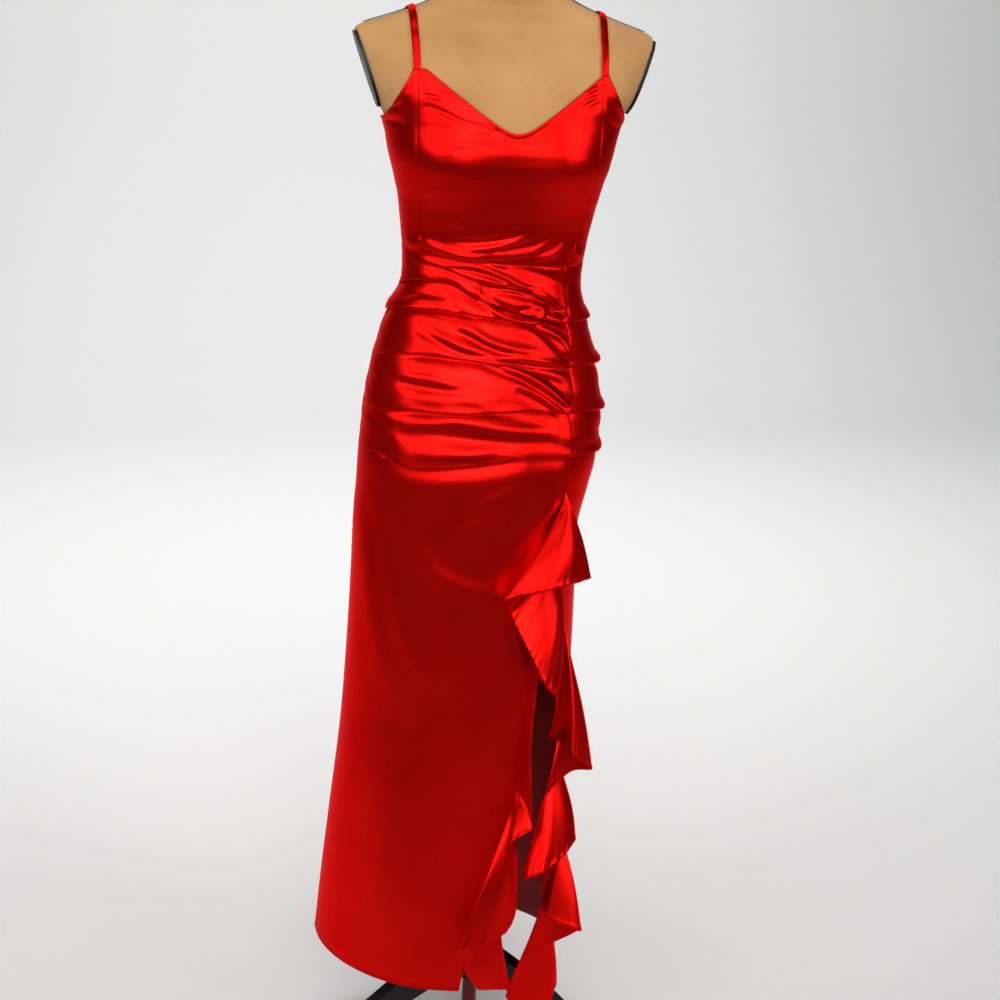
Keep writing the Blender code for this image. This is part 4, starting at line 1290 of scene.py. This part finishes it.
# %% Ruffle tables
Ruling = namedtuple("Ruling", "seam x out z")
SIDE_RUFFLE = [
    Ruling(0.905, 0.129, 0.122, 0.785),
    Ruling(0.900, 0.092, 0.152, 0.787),
    Ruling(0.894, 0.051, 0.168, 0.783),
    Ruling(0.885, 0.000, 0.172, 0.773),
    Ruling(0.852, 0.015, 0.130, 0.741),
    Ruling(0.824, 0.031, 0.141, 0.709),
    Ruling(0.800, 0.047, 0.154, 0.679),
    Ruling(0.788, 0.064, 0.164, 0.644),
    Ruling(0.779, 0.083, 0.158, 0.615),
    Ruling(0.762, 0.083, 0.120, 0.544),
    Ruling(0.750, 0.095, 0.140, 0.547),
    Ruling(0.736, 0.110, 0.168, 0.537),
    Ruling(0.696, 0.139, 0.154, 0.511),
    Ruling(0.635, 0.114, 0.124, 0.492),
    Ruling(0.600, 0.077, 0.140, 0.461),
    Ruling(0.575, 0.044, 0.170, 0.350),
    Ruling(0.550, 0.067, 0.180, 0.361),
    Ruling(0.525, 0.100, 0.168, 0.380),
    Ruling(0.490, 0.123, 0.144, 0.397),
    Ruling(0.460, 0.104, 0.128, 0.390),
    Ruling(0.436, 0.080, 0.130, 0.302),
    Ruling(0.430, 0.085, 0.152, 0.276),
    Ruling(0.412, 0.129, 0.172, 0.263),
    Ruling(0.396, 0.137, 0.150, 0.252),
    Ruling(0.380, 0.101, 0.134, 0.222),
    Ruling(0.362, 0.059, 0.148, 0.214),
    Ruling(0.340, 0.029, 0.164, 0.156),
    Ruling(0.290, 0.063, 0.154, 0.130),
    Ruling(0.235, 0.097, 0.138, 0.122),
    Ruling(0.185, 0.112, 0.122, 0.143),
]
FRONT_RUFFLE = [
    Ruling(0.680, 0.066, 0.123, 0.668),
    Ruling(0.645, 0.058, 0.132, 0.625),
    Ruling(0.605, 0.052, 0.145, 0.575),
    Ruling(0.560, 0.049, 0.160, 0.523),
    Ruling(0.520, 0.050, 0.174, 0.481),
    Ruling(0.486, 0.052, 0.180, 0.436),
    Ruling(0.470, 0.021, 0.190, 0.419),
    Ruling(0.464, 0.028, 0.176, 0.389),
    Ruling(0.459, 0.030, 0.172, 0.350),
    Ruling(0.454, 0.037, 0.172, 0.308),
    Ruling(0.448, 0.023, 0.180, 0.273),
    Ruling(0.441, -0.008, 0.196, 0.263),
    Ruling(0.432, -0.057, 0.204, 0.256),
    Ruling(0.402, -0.029, 0.190, 0.226),
    Ruling(0.361, 0.014, 0.190, 0.212),
    Ruling(0.300, 0.033, 0.178, 0.175),
    Ruling(0.200, -0.014, 0.173, 0.174),
]


# %% [markdown]
# The free edge is hemmed with a narrow stitched turning. Its thread draws the cloth up, so the hem puckers:
# short waves of uneven length, strong in some places and weak in others, that fade out inside the edge.

# %% Ruffles
RUFFLE_BULGE = 8 * MM
BULGE_WIDTH = 0.1  # a ruffle narrower than this bulges less
RUFFLE_LIFT = 1.6 * MM
PUCKER_LENGTH = 17 * MM
PUCKER_DEPTH = 0.9 * MM
PUCKER_START = 0.84  # where the puckers begin, as a share of the way to the free edge
LINES_BETWEEN = 24  # rows of the net from one line of the table to the next
STEPS_ACROSS = 40


def pucker(end, share):
    """How far the hem's puckers lift each point, where the free edge is this line.

    Two slow sines make the waves uneven in length, and a third makes them strong and weak in turn.
    """
    hem_length = np.concatenate([[0], np.cumsum(np.linalg.norm(np.diff(end, axis=0), axis=1))])
    turn = math.tau * hem_length / PUCKER_LENGTH
    wave = np.sin(turn + 1.9 * np.sin(0.31 * turn) + 0.8 * np.sin(0.13 * turn))
    strong = 0.35 + 0.65 * (0.5 + 0.5 * np.sin(0.11 * turn + 1.0)) ** 2
    near_edge = np.clip((share - PUCKER_START) / (1 - PUCKER_START), 0, 1) ** 1.5
    return PUCKER_DEPTH * (wave * strong)[:, None] * near_edge


def ruffle_points(table, seam):
    """A grid from the seam to the free edge, over the lines of the table and the lines between them."""
    place = np.linspace(0, len(table) - 1, LINES_BETWEEN * (len(table) - 1) + 1)
    rows = range(len(table))
    seam_z, x, out, z = (Curve(rows, [getattr(r, c) for r in table])(place) for c in Ruling._fields)
    angle = seam(seam_z)
    normal = dress.normal(angle, seam_z)
    start = dress.point(angle, seam_z) + normal * RUFFLE_LIFT
    end = np.stack([x, -out, z], axis=-1)
    share = np.linspace(0, 1, STEPS_ACROSS + 1)
    reach = np.minimum(1.0, np.linalg.norm(end - start, axis=-1) / BULGE_WIDTH)
    bow = RUFFLE_BULGE * np.sin(math.pi * share) * reach[:, None]
    points = mix(start[:, None], end[:, None], share[:, None]) + normal[:, None] * bow[..., None]
    return points + grid_normals(points) * pucker(end, share)[..., None]


def ruffles():
    for name, node, table, seam, hangs_on in (
        ("ruffle_side_cloth", "ruffle_side", SIDE_RUFFLE, slit_side, "skirt_side_cloth"),
        ("ruffle_front_cloth", "ruffle_front", FRONT_RUFFLE, slit_front, "skirt_front_cloth"),
    ):
        points = ruffle_points(table, seam)
        cloth(name, node, points, ("right",), (), dull_inside=False)


ruffles()

# %% [markdown]
# ## Straps
# Each strap is a thin bias tube pressed flat. It starts at the point of the bodice, goes over the shoulder
# and comes down to the back's edge, always lying on the form. A curve object drawn by hand would cut into the
# shoulder somewhere, so the path is found on the form's own surface: from the middle of the chest a distance
# is halved until it meets the surface. The tube is then swept along the path.

# %% The way over the shoulder
CHEST_Z = 1.40
FARTHEST = 0.3  # beyond the form in every direction from the middle of the chest
HALVINGS = 40


def form_surface(x, turn):
    """The form's points in the planes of these x, in a direction from the middle of the chest."""
    way = np.stack([np.zeros_like(turn), -np.cos(turn), np.sin(turn)], axis=-1)
    middle = np.stack([x, np.zeros_like(x), np.full_like(x, CHEST_Z)], axis=-1)
    near, far = np.zeros_like(x), np.full_like(x, FARTHEST)
    for _ in range(HALVINGS):
        half = (near + far) / 2
        px, py, pz = np.moveaxis(middle + way * half[..., None], -1, 0)
        depth = np.where(py < 0, form.front(pz) + form.bust(px, pz), form.back(pz))
        square = form.square(pz)
        inside = np.abs(px / form.right(pz)) ** square + np.abs(py / depth) ** square < 1
        near, far = np.where(inside, half, near), np.where(inside, far, half)
    return middle + way * near[..., None]


# %% Straps
STRAP_SHOULDER_X = 0.126
STRAP_BACK_X = 0.100
STRAP_CLEAR = 3.4 * MM  # from the form to the middle of the tube
STRAP_THICK = 2.2 * MM
STRAP_CLOTH = 0.6 * MM
STRAP_ROUNDING = 0.8
STRAP_STEPS = 90
STRAP_AROUND = 24
SEAM_OPENING = 0.06  # half of the slot that the tube's seam leaves, as a turn round the tube
STRAP_TURNS = (math.radians(35.5), math.radians(207))
SIDE_STEP = 4 * MM  # how far to each side the form is felt for its slope


def strap(side, name, node):
    """A bias tube pressed flat, with its seam in the middle underneath."""
    share = np.linspace(0, 1, STRAP_STEPS + 1)
    x = side * Curve([0, 0.5, 1], [TOP_X, STRAP_SHOULDER_X, STRAP_BACK_X])(share)
    turn = mix(*STRAP_TURNS, share)
    middle = form_surface(x, turn)
    slope = unit(form_surface(x + SIDE_STEP, turn) - form_surface(x - SIDE_STEP, turn))
    normal = unit(np.cross(slope, np.gradient(middle, axis=0)))
    middle = middle + normal * STRAP_CLEAR
    circle = np.linspace(SEAM_OPENING, math.tau - SEAM_OPENING, STRAP_AROUND + 1)
    flattened = np.sign(np.sin(circle)) * np.abs(np.sin(circle)) ** STRAP_ROUNDING
    aside = flattened * (STRAP_WIDE - STRAP_CLOTH) / 2
    above = -np.cos(circle) * (STRAP_THICK - STRAP_CLOTH) / 2
    points = middle[:, None] - slope[:, None] * aside[:, None] + normal[:, None] * above[:, None]
    made = finish(name, shell_mesh(name, points, STRAP_CLOTH), satin, node)
    declare_cut(points)


strap(-1, "strap_left_cloth", "strap_left")
strap(1, "strap_right_cloth", "strap_right")

# %% [markdown]
# ## Stitches
# A narrow hem is held by a line of short stitches, and so is the neckline. Each line is a path of points just
# inside the piece's edge. There are far too many to place by hand, so a Geometry Nodes tree makes them: it
# walks the paths, puts a small bead of thread at every step and turns it along the path. Real thread sinks
# into the cloth, so each bead lies partly buried.

# %% Stitch paths
THREAD = namedtuple("Thread", "radius length pitch")(0.22 * MM, 2.0 * MM, 2.9 * MM)
THREAD_RISE = 0.4  # how far the middle of the thread is above the cloth, against its radius


def path_inside(points, side, inset):
    """The line on a grid that runs this far inside one of its edges, lifted to the cloth's face."""
    far = edge_distance(points, side)
    place = points + grid_normals(points) * (SATIN / 2 + THREAD.radius * THREAD_RISE)
    if side in ("left", "right"):
        far, place = far.T, place.transpose(1, 0, 2)
    if side in ("high", "right"):
        far, place = far[::-1], place[::-1]
    row = np.argmax(far > inset, axis=0)
    column = np.arange(far.shape[1])
    before, after = far[row - 1, column], far[row, column]
    share = ((inset - before) / (after - before))[:, None]
    return mix(place[row - 1, column], place[row, column], share)


# The edge that is stitched on each kind of piece, and how far inside it the line runs.
STITCHED = {
    "bodice": ("high", 5.0 * MM),
    "skirt": ("low", 6.0 * MM),
    "ruffle": ("right", 3.6 * MM),
}
paths = [path_inside(points, *STITCHED[name.split("_")[0]]) for name, points in EDGES.items()]
print("stitch paths:", len(paths))


# %% Stitch tree
SIZES = (("Pitch", THREAD.pitch), ("Stitch length", THREAD.length), ("Thread radius", THREAD.radius))


def stitch_tree():
    """A bead at every step of a path, and the tree's named inputs."""
    tree = bpy.data.node_groups.new("stitch_line", "GeometryNodeTree")
    face = tree.interface
    face.new_socket("Geometry", in_out="INPUT", socket_type="NodeSocketGeometry")
    inputs = {}
    for name, value in SIZES:
        inputs[name] = face.new_socket(name, in_out="INPUT", socket_type="NodeSocketFloat")
        inputs[name].default_value = value
    inputs["Thread"] = face.new_socket("Thread", in_out="INPUT", socket_type="NodeSocketMaterial")
    face.new_socket("Geometry", in_out="OUTPUT", socket_type="NodeSocketGeometry")
    given, out = add_node(tree, "NodeGroupInput"), add_node(tree, "NodeGroupOutput")
    to_curve = add_node(tree, "GeometryNodeMeshToCurve")
    even = add_node(tree, "GeometryNodeResampleCurve", mode="LENGTH")
    bead = add_node(tree, "GeometryNodeMeshUVSphere", Segments=6, Rings=5, Radius=1.0)
    half = add_node(tree, "ShaderNodeMath", operation="MULTIPLY")
    half.inputs[1].default_value = 0.5
    size = add_node(tree, "ShaderNodeCombineXYZ")
    shape = add_node(tree, "GeometryNodeTransform")
    tangent = add_node(tree, "GeometryNodeInputTangent")
    turn = add_node(tree, "FunctionNodeAlignRotationToVector", axis="X")
    place = add_node(tree, "GeometryNodeInstanceOnPoints")
    real = add_node(tree, "GeometryNodeRealizeInstances")
    paint = add_node(tree, "GeometryNodeSetMaterial")
    for giver, output, taker, entry in (
        (given, "Geometry", to_curve, "Mesh"),
        (to_curve, "Curve", even, "Curve"),
        (given, "Pitch", even, "Length"),
        (given, "Stitch length", half, 0),
        (half, 0, size, "X"),
        (given, "Thread radius", size, "Y"),
        (given, "Thread radius", size, "Z"),
        (bead, "Mesh", shape, "Geometry"),
        (size, "Vector", shape, "Scale"),
        (even, "Curve", place, "Points"),
        (shape, "Geometry", place, "Instance"),
        (tangent, "Tangent", turn, "Vector"),
        (turn, "Rotation", place, "Rotation"),
        (place, "Instances", real, "Geometry"),
        (real, "Geometry", paint, "Geometry"),
        (given, "Thread", paint, "Material"),
        (paint, "Geometry", out, "Geometry"),
    ):
        tree.links.new(giver.outputs[output], taker.inputs[entry])
    return tree, inputs


# %% Thread
TWIST_SCALE = 4000.0
TWIST_DEPTH = 0.1 * MM


def thread_material():
    made, tree, shader, place = new_material("red_thread")
    shader.inputs["Base Color"].default_value = (0.42, 0.006, 0.005, 1)
    shader.inputs["Roughness"].default_value = 0.5
    emboss(tree, shader, noise(tree, place, TWIST_SCALE, 1.0), 0.3, TWIST_DEPTH)
    return made


# %% Sew
def sew(paths):
    """The stitches of all the paths, as one plain mesh."""
    guide = bpy.data.meshes.new("stitch_guide")
    starts = np.cumsum([0] + [len(path) for path in paths])
    edges = [(start + i, start + i + 1) for start, path in zip(starts, paths) for i in range(len(path) - 1)]
    guide.from_pydata((np.concatenate(paths) + AXIS).tolist(), edges, [])
    source = bpy.data.objects.new("stitch_guide", guide)
    bpy.context.scene.collection.objects.link(source)
    tree, inputs = stitch_tree()
    modifier = source.modifiers.new("stitches", "NODES")
    modifier.node_group = tree
    thread = thread_material()
    for name, value in (*SIZES, ("Thread", thread)):
        modifier[inputs[name].identifier] = value
    evaluated = source.evaluated_get(bpy.context.evaluated_depsgraph_get())
    mesh = bpy.data.meshes.new_from_object(evaluated)
    source.modifiers.remove(modifier)
    bpy.data.objects.remove(source)
    mesh.materials.clear()
    finish("stitches", mesh, thread)


sew(paths)

# %% [markdown]
# ## The form
# Padded and covered in linen. Its body is the same kind of surface as the dress, made as one grid of rings,
# finer over the shoulders where it turns quickly. A flat closes each armhole, where the black plate sits.

# %% Form
ARM_TOP = Seam(1.500, 0.1955)
ARM_LOW = Seam(1.392, 0.1580)
SHOULDER_Z = 1.48
SHOULDER_GAP = 3 * MM
BODY_RINGS = 120
NECK_RINGS = 70
RING_POINTS = 192
SHARP_EDGE = math.radians(50)


def arm_x(z):
    """Where the flat of the armhole is at this height."""
    return mix(ARM_LOW.x, ARM_TOP.x, (z - ARM_LOW.z) / (ARM_TOP.z - ARM_LOW.z))


def form_cover():
    body = np.linspace(FORM[0].z, SHOULDER_Z, BODY_RINGS)
    neck = np.linspace(SHOULDER_Z + SHOULDER_GAP, FORM[-1].z, NECK_RINGS)
    z = np.concatenate([body, neck])[:, None]
    angle = np.linspace(0, math.tau, RING_POINTS, endpoint=False)[None]
    points = form.point(angle, z)
    reach = np.where(z > ARM_LOW.z, arm_x(z), np.inf)
    points[..., 0] = np.clip(points[..., 0], -reach, reach)
    rows, columns = points.shape[:2]
    index = np.arange(rows * columns).reshape(rows, columns)
    beside = np.roll(index, -1, axis=1)
    faces = np.stack([index[:-1], beside[:-1], beside[1:], index[1:]], axis=-1).reshape(-1, 4).tolist()
    faces += [index[0][::-1].tolist(), index[-1].tolist()]
    mesh = bpy.data.meshes.new("form_cover")
    mesh.from_pydata((points.reshape(-1, 3) + AXIS).tolist(), [], faces)
    made = finish("form_cover", mesh, linen, "form_body")
    mesh.set_sharp_from_angle(angle=SHARP_EDGE)


form_cover()

# %% [markdown]
# ## Stand
# The solids of the stand are right as they are: the plates, the cords, the cap, the pole, the hub and the
# three legs are plain shapes. They only get their finishes.


# %% Stand finishes
BLACK_PARTS = ("arm_plate", "shoulder_cord", "neck_cap", "seat_plate", "hub", "leg")


def paint(node, material):
    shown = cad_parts[node]
    shown.data.materials.clear()
    shown.data.materials.append(material)


black_nodes = [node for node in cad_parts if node.startswith(BLACK_PARTS)]
for node in black_nodes:
    paint(node, black_paint)
paint("pole", red_paint)
print("painted black:", len(black_nodes))
